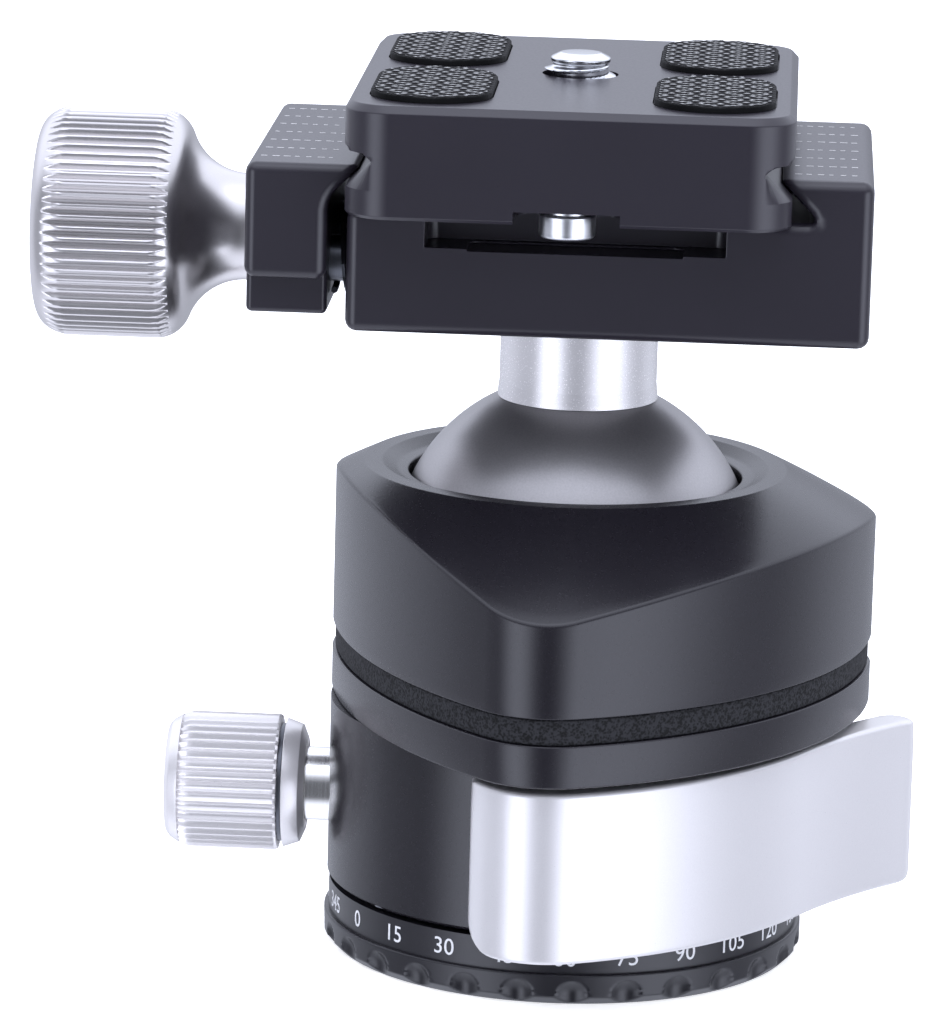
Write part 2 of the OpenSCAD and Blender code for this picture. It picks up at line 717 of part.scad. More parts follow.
module slot_plan(w, l, side) {
    // a slot open past the face at y = 0, with round inner corners; side gives the way out of the body
    r = slot_r;
    rotate(side > 0 ? 0 : 180) {
        translate([-w / 2, r - l]) square([w, l - r + 1]);
        translate([r - w / 2, -l]) square([w - 2 * r, l]);
        for (x = [-1, 1]) translate([x * (w / 2 - r), r - l]) circle(r = r, $fn = small_fn);
    }
}

/* ---- ball and stem ---- */

module ball() {
    color("#6c6d72") difference() {
        translate([0, 0, ball_z]) sphere(r = ball_r, $fn = round_fn);
        translate([0, 0, ball_z - ball_r - 1])
            cylinder(r = ball_r, h = ball_cut + 1, $fn = round_fn);
        translate([0, 0, ball_z + ball_r - stem_spigot_h - fit])
            cylinder(r = stem_spigot_r + run, h = stem_spigot_h + 2, $fn = round_fn);
    }
}

module stem() {
    color("#c9cbd1") difference() {
        union() {
            translate([0, 0, ball_z + ball_r - stem_spigot_h])
                cylinder(r = stem_spigot_r, h = stem_spigot_h, $fn = round_fn);
            difference() {
                translate([0, 0, ball_z + ball_r - 3]) rotate_extrude($fn = round_fn) polygon([[0, 0],
                    [stem_r + 0.12, 0], [stem_r + 0.12, 1.8], [stem_r, 2.8],
                    [stem_r, stem_l + 2.7], [stem_r - 0.3, stem_l + 3], [0, stem_l + 3]]);
                translate([0, 0, ball_z]) sphere(r = ball_r + face_gap, $fn = round_fn);
            }
            translate([0, 0, ball_z + ball_r - 1])
                cylinder(r = stem_spigot_r, h = 2, $fn = round_fn);
        }
        translate([0, 0, deck_z - bolt_sunk - bolt_l]) cylinder(r = bolt_r + fit, h = bolt_l, $fn = small_fn);
        for (a = [0, 180]) rotate(a) translate([pin_d, 0, clamp_z - pin_l / 2])
            cylinder(r = pin_r + fit, h = pin_l, $fn = small_fn);
    }
}

module clamp_bolt() {
    color("#6f7278") translate([0, 0, deck_z - bolt_sunk]) rotate([180, 0, 0]) difference() {
        screw_up(bolt_r, bolt_l - 0.3, bolt_head_r, bolt_head_h);
        translate([0, 0, -eps]) cylinder(r = 2.2, h = 1.6, $fn = 6);
    }
}

module anti_twist_pins() {
    color("#9a9ca2") for (a = [0, 180]) rotate(a) translate([pin_d, 0, clamp_z - pin_l / 2 + face_gap])
        cylinder(r = pin_r, h = pin_l - 2 * face_gap, $fn = small_fn);
}

/* ---- clamp ---- */

// Profile of the deck with its fixed jaw, drawn in X and Z
module deck_profile() {
    e = clamp_edge;
    polygon([[-deck_left, clamp_z + e], [-deck_left + e, clamp_z], [deck_right - e, clamp_z],
        [deck_right, clamp_z + e], [deck_right, jaw_z - e], [deck_right - e, jaw_z],
        [jaw_tip_x - plate_off + 0.4, jaw_z], [jaw_tip_x - plate_off + 0.2, jaw_z - 0.2],
        [jaw_slot_x - plate_off, deck_z], [-deck_left, deck_z]]);
}

module clamp_body() {
    color("#2c2b31") difference() {
        bar_y(clamp_d) deck_profile();
        for (s = [-1, 1]) translate([0, s * clamp_d / 2, deck_z - recess_depth]) {
            linear_extrude(height = recess_depth + 1) slot_plan(recess_w, recess_l, s);
            translate([0, 0, -floor_step]) linear_extrude(height = 1) slot_plan(recess_w - 7.2, recess_l - 0.6, s);
        }
        translate([0, 0, deck_z - bolt_sunk - bolt_head_h - fit])
            cylinder(r = bolt_head_r + fit, h = bolt_head_h + 2, $fn = small_fn);
        translate([0, 0, clamp_z - 1]) cylinder(r = bolt_r + fit, h = deck_h, $fn = small_fn);
        for (a = [0, 180]) rotate(a) translate([pin_d, 0, clamp_z - eps])
            cylinder(r = pin_r + fit, h = pin_l / 2, $fn = small_fn);
        for (s = [-1, 1]) translate([0, s * rod_y, clamp_z + rod_up]) {
            rod_x(-deck_left - 1, -deck_left + rod_in, rod_r + fit);
            rod_x(-deck_left - 1, -deck_left + spring_seat_l, spring_seat_r);
        }
        translate([0, 0, knob_z]) rod_x(-deck_left - 1, -deck_left + screw_in, clamp_screw_r + run);
    }
}

module guide_rods() {
    color("#55565c") for (s = [-1, 1]) translate([0, s * rod_y, clamp_z + rod_up])
        rod_x(-jaw_right - rod_jaw_in, -deck_left + rod_in - fit, rod_r);
}

module jaw_springs() {
    color("#8d9096") for (s = [-1, 1])
        translate([-jaw_right + jaw_wire_r + fit, s * rod_y, clamp_z + rod_up]) rotate([0, 90, 0])
            coil(spring_r, jaw_wire_r, jaw_gap + spring_seat_l - 2 * jaw_wire_r - 2 * fit, spring_turns);
}

// Profile of the sliding jaw, drawn in X and Z with X away from the deck
module jaw_profile() {
    e = clamp_edge;
    z0 = clamp_z + jaw_foot + jaw_step_h;
    polygon([[-jaw_left, z0 + e], [-jaw_left + e, z0], [-jaw_right - e, z0], [-jaw_right, z0 + e],
        [-jaw_right, dovetail_line + plate_off + face_gap - jaw_right],
        [-jaw_tip_x - plate_off - 0.2, jaw_z - 0.2], [-jaw_tip_x - plate_off - 0.4, jaw_z],
        [-jaw_left + e, jaw_z], [-jaw_left, jaw_z - e]]);
}

module sliding_jaw() {
    color("#2c2b31") difference() {
        union() {
            bar_y(clamp_d) jaw_profile();
            translate([-jaw_left, -clamp_d / 2 + jaw_step, clamp_z + jaw_foot])
                cube([jaw_t, clamp_d - 2 * jaw_step, jaw_step_h + clamp_edge]);
        }
        for (s = [-1, 1]) translate([0, s * rod_y, clamp_z + rod_up])
            rod_x(-jaw_right + 1, -jaw_right - rod_jaw_in - 0.3, rod_r + run);
        translate([0, 0, knob_z]) rod_x(-jaw_right + 1, -jaw_left - 1, clamp_screw_r + free);
    }
}

module knob_washer() {
    color("#b9bcc2") translate([0, 0, knob_z]) difference() {
        rod_x(-jaw_left, -jaw_left - washer_t, knob_neck_r - 0.1, round_fn);
        rod_x(-jaw_left + 1, -jaw_left - 2, clamp_screw_r + free);
    }
}

module clamp_screw() {
    color("#9a9ca2") translate([0, 0, knob_z])
        rod_x(-deck_left + screw_in - 0.5, -knob_end_x + 3, clamp_screw_r);
}

module clamp_knob() {
    color("#b4b5bf") translate([-knob_x, 0, knob_z]) rotate([0, -90, 0]) difference() {
        rotate_extrude($fn = round_fn) polygon([[0, 0], [knob_neck_r, 0],
            for (i = [0:8]) let (a = knob_flare_turn * i / 8)
                [knob_neck_r + knob_flare_r * (1 - cos(a)), knob_flare_x + knob_flare_r * sin(a)],
            for (i = [5:-1:0]) let (a = knob_flare_turn * i / 6)
                [knob_r - knob_shoulder_r * (1 - cos(a)), knob_neck_l - knob_shoulder_r * sin(a)],
            for (i = [0:6]) let (a = 90 * i / 6)
                [knob_r - 2 * (1 - cos(a)), knob_neck_l + knob_l - 3 + 3 * sin(a)], [0, knob_neck_l + knob_l]]);
        translate([0, 0, -eps]) cylinder(r = clamp_screw_r + fit, h = knob_neck_l + knob_l - 2.9, $fn = small_fn);
        translate([0, 0, knob_neck_l + knob_l - knob_cap_h])
            cylinder(r = knob_cap_r + fit, h = knob_cap_h + 1, $fn = round_fn);
    }
}

module knob_cap() {
    color("#9a9ca2") translate([0, 0, knob_z])
        rod_x(-knob_end_x + 0.1, -knob_end_x + knob_cap_h - fit, knob_cap_r, round_fn);
}

/* ---- quick-release plate ---- */

// Profile of the plate, drawn in X and Z about its own middle
module plate_profile() {
    w = plate_w / 2;
    c = 0.6;
    half = [[plate_flange_x, 0], [plate_flange_x, groove_up - (plate_flange_x - (w - groove_in))],
        [w - groove_in, groove_up], [w - groove_in + 0.7, groove_up + 0.55], [w - 0.5, groove_up + 0.75],
        [w, groove_up + 1.2], [w, plate_t - c], [w - c, plate_t]];
    polygon(concat(half, [for (i = [len(half) - 1:-1:0]) [-half[i][0], half[i][1]]]));
}

module pad_outline(grow = 0) {
    square([pad_w + 2 * grow, pad_len - pad_w], center = true);
    for (s = [-1, 1]) translate([0, s * (pad_len - pad_w) / 2]) circle(r = pad_w / 2 + grow, $fn = round_fn);
}

module quick_release_plate() {
    r = plate_corner;
    color("#2c2b31") difference() {
        intersection() {
            translate([-plate_off, 0, plate_z]) bar_y(plate_l) plate_profile();
            translate([-plate_off, 0, plate_z - 1]) linear_extrude(height = plate_t + 2) union() {
                square([plate_w + 2, plate_l - 2 * r], center = true);
                square([plate_w - 2 * r, plate_l], center = true);
                for (x = [-1, 1], y = [-1, 1]) translate([x * (plate_w / 2 - r), y * (plate_l / 2 - r)])
                    circle(r = r, $fn = small_fn);
            }
        }
        translate([-plate_off, 0, plate_z - eps]) {
            cylinder(r = camera_clear_r, h = plate_t + 1, $fn = small_fn);
            cylinder(r = camera_bore_r, h = head_room, $fn = small_fn);
            translate([0, 0, clip_up]) cylinder(r = clip_r + fit, h = clip_t + fit, $fn = small_fn);
        }
        for (x = [-1, 1], y = [-1, 1]) translate([x * pad_x - plate_off, y * pad_y, top_z - pad_pocket])
            linear_extrude(height = 1) pad_outline(fit);
        for (s = [-1, 1]) {
            translate([-plate_off, s * plate_l / 2, plate_z - 1])
                linear_extrude(height = notch_h + 1) slot_plan(notch_w, notch_l, s);
            translate([-plate_off, s * stop_y, plate_z - 1])
                cylinder(r = stop_neck_r + fit, h = stop_in + 1 + screw_room, $fn = small_fn);
        }
    }
}

module grip_pads() {
    color("#1d1d20") for (x = [-1, 1], y = [-1, 1])
        translate([x * pad_x - plate_off, y * pad_y, top_z - pad_pocket + fit])
            linear_extrude(height = pad_pocket + pad_rise - fit) pad_outline();
}

module stop_screws() {
    color("#c9cbd1") for (s = [-1, 1]) translate([-plate_off, s * stop_y, plate_z - stop_drop])
        screw_up(stop_neck_r, stop_drop + stop_in, stop_r, stop_h);
}

module camera_screw() {
    color("#d5d7dc") translate([-plate_off, 0, plate_z]) difference() {
        union() {
            translate([0, 0, head_up]) cylinder(r = camera_head_r, h = camera_head_h, $fn = small_fn);
            translate([0, 0, head_up]) cylinder(r = camera_r - 0.25, h = plate_t - head_up + eps, $fn = round_fn);
            translate([0, 0, plate_t]) cylinder(r = camera_r, h = camera_rise - camera_point, $fn = round_fn);
            translate([0, 0, plate_t + camera_rise - camera_point])
                cylinder(r1 = camera_r, r2 = camera_r - 0.6, h = camera_point, $fn = round_fn);
        }
        translate([-camera_head_r - 1, -0.7, 0]) cube([2 * camera_head_r + 2, 1.4, head_up + 1.4]);
    }
}

module screw_clip() {
    color("#8d9096") translate([-plate_off, 0, plate_z + clip_up + eps])
        ring(clip_r, camera_head_r - 0.8, clip_t);
}

pan_base();
scale_ring();
tripod_insert();
pan_spigot();
base_screws();
pan_bushing();
pan_retainer();
retainer_screws();
lower_housing();
upper_housing();
grip_band();
housing_screws();
seat_ring();
lower_cup();
wave_spring();
lift_ring();
cam_ring();
lock_lever();
lever_screws();
pan_lock_knob();
pan_lock_screw();
pan_lock_pad();
ball();
stem();
clamp_bolt();
anti_twist_pins();
clamp_body();
guide_rods();
jaw_springs();
sliding_jaw();
knob_washer();
clamp_screw();
clamp_knob();
knob_cap();
quick_release_plate();
grip_pads();
stop_screws();
camera_screw();
screw_clip();
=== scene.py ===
import math
import bmesh
import bpy
import numpy as np
from mathutils import Matrix, Vector


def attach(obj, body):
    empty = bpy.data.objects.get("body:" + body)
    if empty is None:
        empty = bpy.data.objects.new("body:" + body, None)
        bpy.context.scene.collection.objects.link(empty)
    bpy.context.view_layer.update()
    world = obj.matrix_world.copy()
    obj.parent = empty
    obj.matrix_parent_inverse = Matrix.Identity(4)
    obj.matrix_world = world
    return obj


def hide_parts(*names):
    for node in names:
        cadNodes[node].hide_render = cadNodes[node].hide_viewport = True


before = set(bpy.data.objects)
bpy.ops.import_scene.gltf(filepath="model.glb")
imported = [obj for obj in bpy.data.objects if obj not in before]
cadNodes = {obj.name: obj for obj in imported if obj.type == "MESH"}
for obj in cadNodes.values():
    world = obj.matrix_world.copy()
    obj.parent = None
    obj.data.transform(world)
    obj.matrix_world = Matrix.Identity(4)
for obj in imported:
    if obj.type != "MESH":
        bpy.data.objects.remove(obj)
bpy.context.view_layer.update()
mm = 0.001
print("frame loaded:", len(cadNodes), "nodes")


# ---- small helpers ----

def hexColour(text):
    # sRGB hex to linear: c / 12.92 below 0.04045, else ((c + 0.055) / 1.055) to the power 2.4
    c = np.array([int(text[i:i + 2], 16) / 255 for i in (1, 3, 5)])
    return (*np.where(c <= 0.04045, c / 12.92, ((c + 0.055) / 1.055) ** 2.4), 1.0)


def addNode(tree, kind, settings=(), links=()):
    # settings are sockets by name or number, or else properties; links are socket: (node, output)
    node = tree.nodes.new(kind)
    for name, value in dict(settings).items():
        if isinstance(name, int) or name in node.inputs:
            node.inputs[name].default_value = value
        else:
            setattr(node, name, value)
    for name, (source, output) in dict(links).items():
        tree.links.new(source.outputs[output], node.inputs[name])
    return node


def gridFaces(rows, columns, wrapRows=False, wrapColumns=False):
    # quads (i, j), (i, j + 1), (i + 1, j + 1), (i + 1, j) of a grid numbered row by row
    i, j = np.meshgrid(np.arange(rows if wrapRows else rows - 1),
                       np.arange(columns if wrapColumns else columns - 1), indexing="ij")
    nextI, nextJ = (i + 1) % rows, (j + 1) % columns
    corners = [i * columns + j, i * columns + nextJ, nextI * columns + nextJ, nextI * columns + j]
    return np.stack(corners, -1).reshape(-1, 4)


def filletPath(corners, radii, steps=4):
    # each corner of an open path becomes an arc: tangent length = radius * tan(half the turn)
    p = np.array(corners, float)
    path = [p[:1]]
    for a, b, c, radius in zip(p[:-2], p[1:-1], p[2:], radii):
        u, w = (a - b) / np.linalg.norm(a - b), (c - b) / np.linalg.norm(c - b)
        half = math.acos(np.clip(u @ w, -1, 1)) / 2
        if radius <= 0 or half > math.pi / 2 - 0.02:
            path.append(b[None])
            continue
        reach = min(radius / math.tan(half), 0.49 * np.linalg.norm(a - b), 0.49 * np.linalg.norm(c - b))
        centre = b + (u + w) / np.linalg.norm(u + w) * reach / math.cos(half)
        t = np.linspace(0, 1, steps + 1)[:, None]
        chord = (b + u * reach - centre) * (1 - t) + (b + w * reach - centre) * t
        path.append(centre + chord / np.linalg.norm(chord, axis=1)[:, None] * reach * math.tan(half))
    return np.concatenate(path + [p[-1:]])


def makeMesh(name, points, faces, caps=(), sharp=32):
    # mesh from points in millimetres: doubles merged, faces turned outwards, edges above the angle kept sharp
    mesh = bpy.data.meshes.new(name)
    faceList = np.asarray(faces).tolist() + [list(map(int, cap)) for cap in caps]
    mesh.from_pydata((np.asarray(points, float).reshape(-1, 3) * mm).tolist(), [], faceList)
    work = bmesh.new()
    work.from_mesh(mesh)
    bmesh.ops.remove_doubles(work, verts=work.verts, dist=2e-6)
    bmesh.ops.dissolve_degenerate(work, edges=work.edges, dist=1e-7)
    bmesh.ops.recalc_face_normals(work, faces=work.faces)
    work.to_mesh(mesh)
    work.free()
    mesh.shade_smooth()
    mesh.set_sharp_from_angle(angle=math.radians(sharp))
    return mesh


def addObject(name, data):
    piece = bpy.data.objects.new(name, data)
    bpy.context.scene.collection.objects.link(piece)
    return piece


def finishPiece(piece, body, material, nodes=()):
    # a piece's finish, the body it rides on, the nodes it stands in for and its material slot
    piece.data.materials.clear()
    piece.data.materials.append(material)
    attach(piece, body)
    if nodes:
        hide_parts(*nodes)
    return piece


def applied(piece):
    # the piece's modifiers become part of its mesh
    graph = bpy.context.evaluated_depsgraph_get()
    mesh = bpy.data.meshes.new_from_object(piece.evaluated_get(graph))
    piece.modifiers.clear()
    piece.data = mesh
    mesh.shade_smooth()
    mesh.set_sharp_from_angle(angle=math.radians(32))
    return piece


def bevelled(piece, width, segments=4, degrees=40):
    edge = piece.modifiers.new("softEdges", "BEVEL")
    edge.width, edge.segments = width * mm, segments
    edge.limit_method, edge.angle_limit = "ANGLE", math.radians(degrees)
    edge.miter_outer = "MITER_ARC"
    return applied(piece)


def cutBy(piece, *cutters):
    # takes each closed cutter mesh out of the piece
    for mesh in cutters:
        cutter = addObject("cutter", mesh)
        cut = piece.modifiers.new("cut", "BOOLEAN")
        cut.operation, cut.object, cut.solver = "DIFFERENCE", cutter, "EXACT"
        applied(piece)
        bpy.data.objects.remove(cutter)
    return piece


def flatFaces(piece):
    # large faces keep their own normals beside the soft edges
    weights = piece.modifiers.new("flatFaces", "WEIGHTED_NORMAL")
    weights.keep_sharp = True
    return piece


def turned(profile, columns):
    # solid of revolution about Z: x = r cos a, y = r sin a, z, for each (r, z) of the profile
    r, z = np.array(profile, float).T
    a = np.arange(columns) * 2 * math.pi / columns
    return np.stack([r[:, None] * np.cos(a), r[:, None] * np.sin(a), np.repeat(z[:, None], columns, 1)], -1)


def lathe(name, profile, columns, place=None):
    # a turned shape as a mesh, its points moved by place
    points = turned(profile, columns).reshape(-1, 3)
    if place is not None:
        points = place(points)
    return makeMesh(name, points, gridFaces(len(profile), columns, wrapColumns=True))


def alongX(start, height, direction=-1):
    # stands a turned shape on its side: its Z runs along X from start, at the given height
    def place(p):
        return np.stack([start + direction * p[:, 2], p[:, 1] * -direction, height + p[:, 0]], 1)
    return place


def carried(name, profile, low, high, axis):
    # a flat outline carried along an axis from low to high, with flat ends; the axis takes its place among x, y, z
    p = np.array(profile, float)
    n = len(p)
    points = np.concatenate([np.insert(p, axis, level, axis=1) for level in (low, high)])
    return makeMesh(name, points, gridFaces(2, n, wrapColumns=True), [range(n), range(n, 2 * n)], 20)


def bar(name, profile, yFrom, yTo):
    # a profile of (x, z) along Y
    return carried(name, profile, yFrom, yTo, 1)


def slab(name, plan, zFrom, zTo):
    # a plan of (x, y) along Z
    return carried(name, plan, zFrom, zTo, 2)


def openCut(half, inner, outer, side, corner, middle=0.0):
    # plan of a cut that comes in from one end along Y, its two inner corners rounded
    path = [(-half, side * outer), (-half, side * inner), (half, side * inner), (half, side * outer)]
    return filletPath(np.array(path) + (middle, 0), [corner] * 2, 8)


# ---- materials ----

def startMaterial(name):
    # an empty node tree and its texture coordinates
    material = bpy.data.materials.new(name)
    material.use_nodes = True
    tree = material.node_tree
    tree.nodes.clear()
    return material, tree, addNode(tree, "ShaderNodeTexCoord")


def addNoise(tree, place, size, detail=2.0):
    # size is the grain's, in millimetres
    settings = {"Scale": 1 / (size * mm), "Detail": detail}
    return addNode(tree, "ShaderNodeTexNoise", settings, {"Vector": (place, "Object")})


def addTone(tree, dark, light, factor):
    # colour = dark * (1 - factor) + light * factor
    settings = {"data_type": "RGBA", 6: hexColour(dark), 7: hexColour(light)}
    return addNode(tree, "ShaderNodeMix", settings, {0: factor})


def addRange(tree, value, low, high, fromLow=0.0, fromHigh=1.0, kind="LINEAR"):
    # fromLow to fromHigh becomes low to high, clamped
    settings = {"From Min": fromLow, "From Max": fromHigh, "To Min": low, "To Max": high, "interpolation_type": kind}
    return addNode(tree, "ShaderNodeMapRange", settings, {"Value": value})


def addMath(tree, operation, *values):
    # each value is a number or a (node, output)
    settings = {i: value for i, value in enumerate(values) if isinstance(value, float)}
    links = {i: value for i, value in enumerate(values) if isinstance(value, tuple)}
    return addNode(tree, "ShaderNodeMath", {"operation": operation, **settings}, links)


def endMaterial(tree, settings, links, height, strength, depth):
    # height is the relief's (node, output); depth is in millimetres
    relief = addNode(tree, "ShaderNodeBump", {"Strength": strength, "Distance": depth * mm}, {"Height": height})
    shader = addNode(tree, "ShaderNodeBsdfPrincipled", settings, {**links, "Normal": (relief, "Normal")})
    addNode(tree, "ShaderNodeOutputMaterial", {}, {"Surface": (shader, "BSDF")})


def blackAnodised(name, dark, light, roughness):
    # bead-blasted aluminium, black anodised: near black from the front, pale grey where the light grazes it
    material, tree, place = startMaterial(name)
    grain, cloud = addNoise(tree, place, 0.25), addNoise(tree, place, 14)
    tone = addTone(tree, dark, light, (cloud, "Fac"))
    gloss = addRange(tree, (grain, "Fac"), roughness - 0.04, roughness + 0.04)
    endMaterial(tree, {"Metallic": 0.0, "IOR": 1.5}, {"Base Color": (tone, 2), "Roughness": (gloss, "Result")},
                (grain, "Fac"), 0.06, 0.02)
    return material


def satinAluminium(name, dark, light, roughness, metallic=0.4, grainSize=0.12, strength=0.05):
    # fine-blasted aluminium under clear anodising: a milky skin over soft, broad metal reflections, with a faint grain
    material, tree, place = startMaterial(name)
    grain = addNoise(tree, place, grainSize, 3.0)
    tone = addTone(tree, dark, light, (grain, "Fac"))
    gloss = addRange(tree, (grain, "Fac"), roughness - 0.05, roughness + 0.05)
    endMaterial(tree, {"Metallic": metallic}, {"Base Color": (tone, 2), "Roughness": (gloss, "Result")},
                (grain, "Fac"), strength, 0.02)
    return material


def turnedMetal(name, dark, light, roughness, axis, pitch=0.12):
    # lathe-turned metal: fine rings round its axis, drawn 0.12 mm apart or more so that they show
    material, tree, place = startMaterial(name)
    stretch = [2.0, 2.0, 2.0]
    stretch[axis] = 1 / (pitch * mm)
    rings = addNode(tree, "ShaderNodeMapping", {"Scale": stretch}, {"Vector": (place, "Object")})
    lines = addNode(tree, "ShaderNodeTexNoise", {"Scale": 1.0, "Detail": 2.0}, {"Vector": (rings, "Vector")})
    tone = addTone(tree, dark, light, (lines, "Fac"))
    gloss = addRange(tree, (lines, "Fac"), roughness - 0.05, roughness + 0.06)
    endMaterial(tree, {"Metallic": 1.0}, {"Base Color": (tone, 2), "Roughness": (gloss, "Result")},
                (lines, "Fac"), 0.04, 0.02)
    return material


def grainedRubber(name, dark, speck):
    # moulded rubber with a leather-like grit: near black with small lighter specks on its bumps
    material, tree, place = startMaterial(name)
    settings = {"Scale": 1 / (0.22 * mm), "Randomness": 1.0}
    grit = addNode(tree, "ShaderNodeTexVoronoi", settings, {"Vector": (place, "Object")})
    cloud = addNoise(tree, place, 0.35, 3.0)
    mixed = addMath(tree, "MULTIPLY_ADD", (grit, "Distance"), 0.5, (cloud, "Fac"))
    specks = addRange(tree, (mixed, "Value"), 0, 1, 0.62, 0.84)
    tone = addTone(tree, dark, speck, (specks, "Result"))
    endMaterial(tree, {"Metallic": 0.0, "Specular IOR Level": 0.25, "Roughness": 0.75}, {"Base Color": (tone, 2)},
                (mixed, "Value"), 0.7, 0.12)
    return material


def wovenRubber(name, dark, light):
    # moulded rubber with a raised diamond mesh: black rubber, with a painted highlight in light grey along the strands'
    # crests
    material, tree, place = startMaterial(name)
    strand = addNode(tree, "ShaderNodeAttribute", {"attribute_name": "strand"})
    grain = addNoise(tree, place, 0.18)
    crest = addRange(tree, (strand, "Fac"), 0, 1, 0.72, 0.98)
    # painted highlight: the crests turn light grey, broken up by the grain
    crestHighlight = addMath(tree, "MULTIPLY", (crest, "Result"), (grain, "Fac"))
    tone = addTone(tree, dark, light, (crestHighlight, "Value"))
    endMaterial(tree, {"Metallic": 0.0, "Specular IOR Level": 0.12, "Roughness": 0.6}, {"Base Color": (tone, 2)},
                (grain, "Fac"), 0.3, 0.03)
    return material


def printedPaint(name, colour):
    # pad-printed scale paint: a matt off-white film
    material, tree, place = startMaterial(name)
    grain = addNoise(tree, place, 0.3)
    tone = addTone(tree, colour, "#ffffff", (grain, "Fac"))
    endMaterial(tree, {"Roughness": 0.55}, {"Base Color": (tone, 2)}, (grain, "Fac"), 0.05, 0.01)
    return material


finishes = {
    "housing": blackAnodised("blackAnodisedAluminium", "#1b191e", "#201e24", roughness=0.26),
    "base": blackAnodised("blackAnodisedBase", "#1e1d22", "#232227", roughness=0.32),
    "clamp": blackAnodised("blackAnodisedClamp", "#252229", "#2a272f", roughness=0.3),
    "knob": satinAluminium("silverAnodisedKnob", "#cdcaca", "#d9d6d6", 0.3, 1.0, strength=0.08),
    "lockKnob": satinAluminium("brightAnodisedKnob", "#e4e1e1", "#efecec", 0.3, 0.5, strength=0.04),
    "lever": satinAluminium("satinAnodisedLever", "#d4d2d3", "#dfdddd", 0.3, strength=0.03),
    "stem": satinAluminium("satinStem", "#e6e4e4", "#efeded", 0.26, strength=0.02),
    "ball": satinAluminium("beadBlastedBall", "#a09e9f", "#bebcbd", 0.36, 0.85, grainSize=0.16, strength=0.16),
    "shaft": turnedMetal("polishedSteelShaft", "#e6e5e3", "#f7f6f4", 0.2, 0, 0.2),
    "bright": turnedMetal("polishedSteelScrew", "#d4d6da", "#f0f1f3", 0.14, 2, 0.2),
    "turned": turnedMetal("turnedSteelScrew", "#d4d6da", "#f0f1f3", 0.3, 2, 0.2),
    "steel": turnedMetal("machinedSteel", "#8c8e94", "#a6a8ad", 0.36, 2),
    "steelX": turnedMetal("machinedSteelRod", "#55575d", "#6c6e74", 0.34, 0),
    "bronze": turnedMetal("bearingBronze", "#a57c43", "#bb9254", 0.34, 2),
    "band": grainedRubber("grainedRubberBand", "#0c0c0d", "#2b2b2e"),
    # the pad's light grey is a painted highlight on the strands' crests
    "pad": wovenRubber("wovenRubberPad", "#060607", "#f2f3f5"),
    "paint": printedPaint("scalePaint", "#e9e9ea"),
}
print("materials made:", len(finishes))


# ---- pan base: scalloped disc ----

panBase = {
    "radius": 21.4, "height": 2.8, "chamfer": 0.8, "topEdge": 0.18,
    "scallops": 28, "scallopAt": -85.1, "scallopHalf": 1.38, "scallopDepth": 0.6, "scallopMiddle": 0.9,
    "bore": 6.22, "flangeBore": 7.22, "flangeDepth": 1.22,
    "screwAt": 9.85, "screwRadius": 1.47, "screwHead": 2.485, "screwHeadDepth": 1.4,
}


def scallopedDisc(v):
    # outer radius = min(profile, R - D * (1 - (s^2 + max(0, z - z0)^2) / w^2)), s round the rim from a scallop's middle
    columns = v["scallops"] * 18
    a = np.arange(columns) * 2 * math.pi / columns + math.radians(v["scallopAt"])
    rim = filletPath([(v["radius"] - v["chamfer"] - 1, 0), (v["radius"] - v["chamfer"], 0), (v["radius"], v["chamfer"]),
                      (v["radius"], v["height"]), (v["radius"] - 1, v["height"])], [0.15, 0.3, v["topEdge"]], 4)
    heights = np.linspace(0.02, v["height"] - 0.3, 26)
    upper, lower = rim[rim[:, 1] > heights[-1] + 0.02], rim[rim[:, 1] < 0.015]
    side = np.column_stack([np.interp(heights, rim[1:-1, 1], rim[1:-1, 0]), heights])
    profile = np.concatenate([lower, side, upper])
    s = (np.mod(np.degrees(a) - v["scallopAt"] + 180 / v["scallops"], 360 / v["scallops"]) - 180 / v["scallops"])
    s = np.radians(s) * v["radius"]
    rise = np.maximum(0, profile[:, 1] - v["scallopMiddle"])
    depth = v["scallopDepth"] * (1 - (s[None] ** 2 + rise[:, None] ** 2) / v["scallopHalf"] ** 2)
    radius = np.minimum(profile[:, :1], v["radius"] - np.maximum(0, depth))
    radius = np.where(profile[:, :1] < v["radius"] - v["chamfer"] - 0.5, profile[:, :1], radius)
    inner = np.array([(v["bore"], v["height"]), (v["bore"], v["flangeDepth"]),
                      (v["flangeBore"], v["flangeDepth"]), (v["flangeBore"], 0)])
    r = np.concatenate([radius, np.repeat(inner[:, :1], columns, 1)])
    z = np.concatenate([profile[:, 1], inner[:, 1]])[:, None]
    points = np.stack([r * np.cos(a), r * np.sin(a), np.repeat(z, columns, 1)], -1)
    return makeMesh("panBase", points, gridFaces(len(r), columns, True, True), sharp=38)


def uprightRod(radius, x, y, zFrom, zTo):
    # a closed cylinder about the line (x, y), for a bore along Z
    mesh = lathe("rod", [(0, zFrom), (radius, zFrom), (radius, zTo), (0, zTo)], 48)
    mesh.transform(Matrix.Translation((x * mm, y * mm, 0)))
    return mesh


def makePanBase(v):
    # the scalloped disc with four countersunk holes, at (R cos a, R sin a)
    piece = addObject("panBaseRim", scallopedDisc(v))
    for turn in np.radians((45, 135, 225, 315)):
        x, y = v["screwAt"] * math.cos(turn), v["screwAt"] * math.sin(turn)
        cutBy(piece, uprightRod(v["screwRadius"], x, y, -1, v["height"] + 1),
              uprightRod(v["screwHead"], x, y, -1, v["screwHeadDepth"]))
    finishPiece(piece, "base", finishes["base"], ["pan_base"])


makePanBase(panBase)


def addFilm(name, points, faces, thickness, body):
    # printed marks: flat faces with points in millimetres, thickened inwards
    mesh = bpy.data.meshes.new(name)
    mesh.from_pydata((points.reshape(-1, 3) * mm).tolist(), [], faces)
    piece = addObject(name, mesh)
    film = piece.modifiers.new("film", "SOLIDIFY")
    film.thickness, film.offset = thickness * mm, -1.0
    finishPiece(piece, body, finishes["paint"])


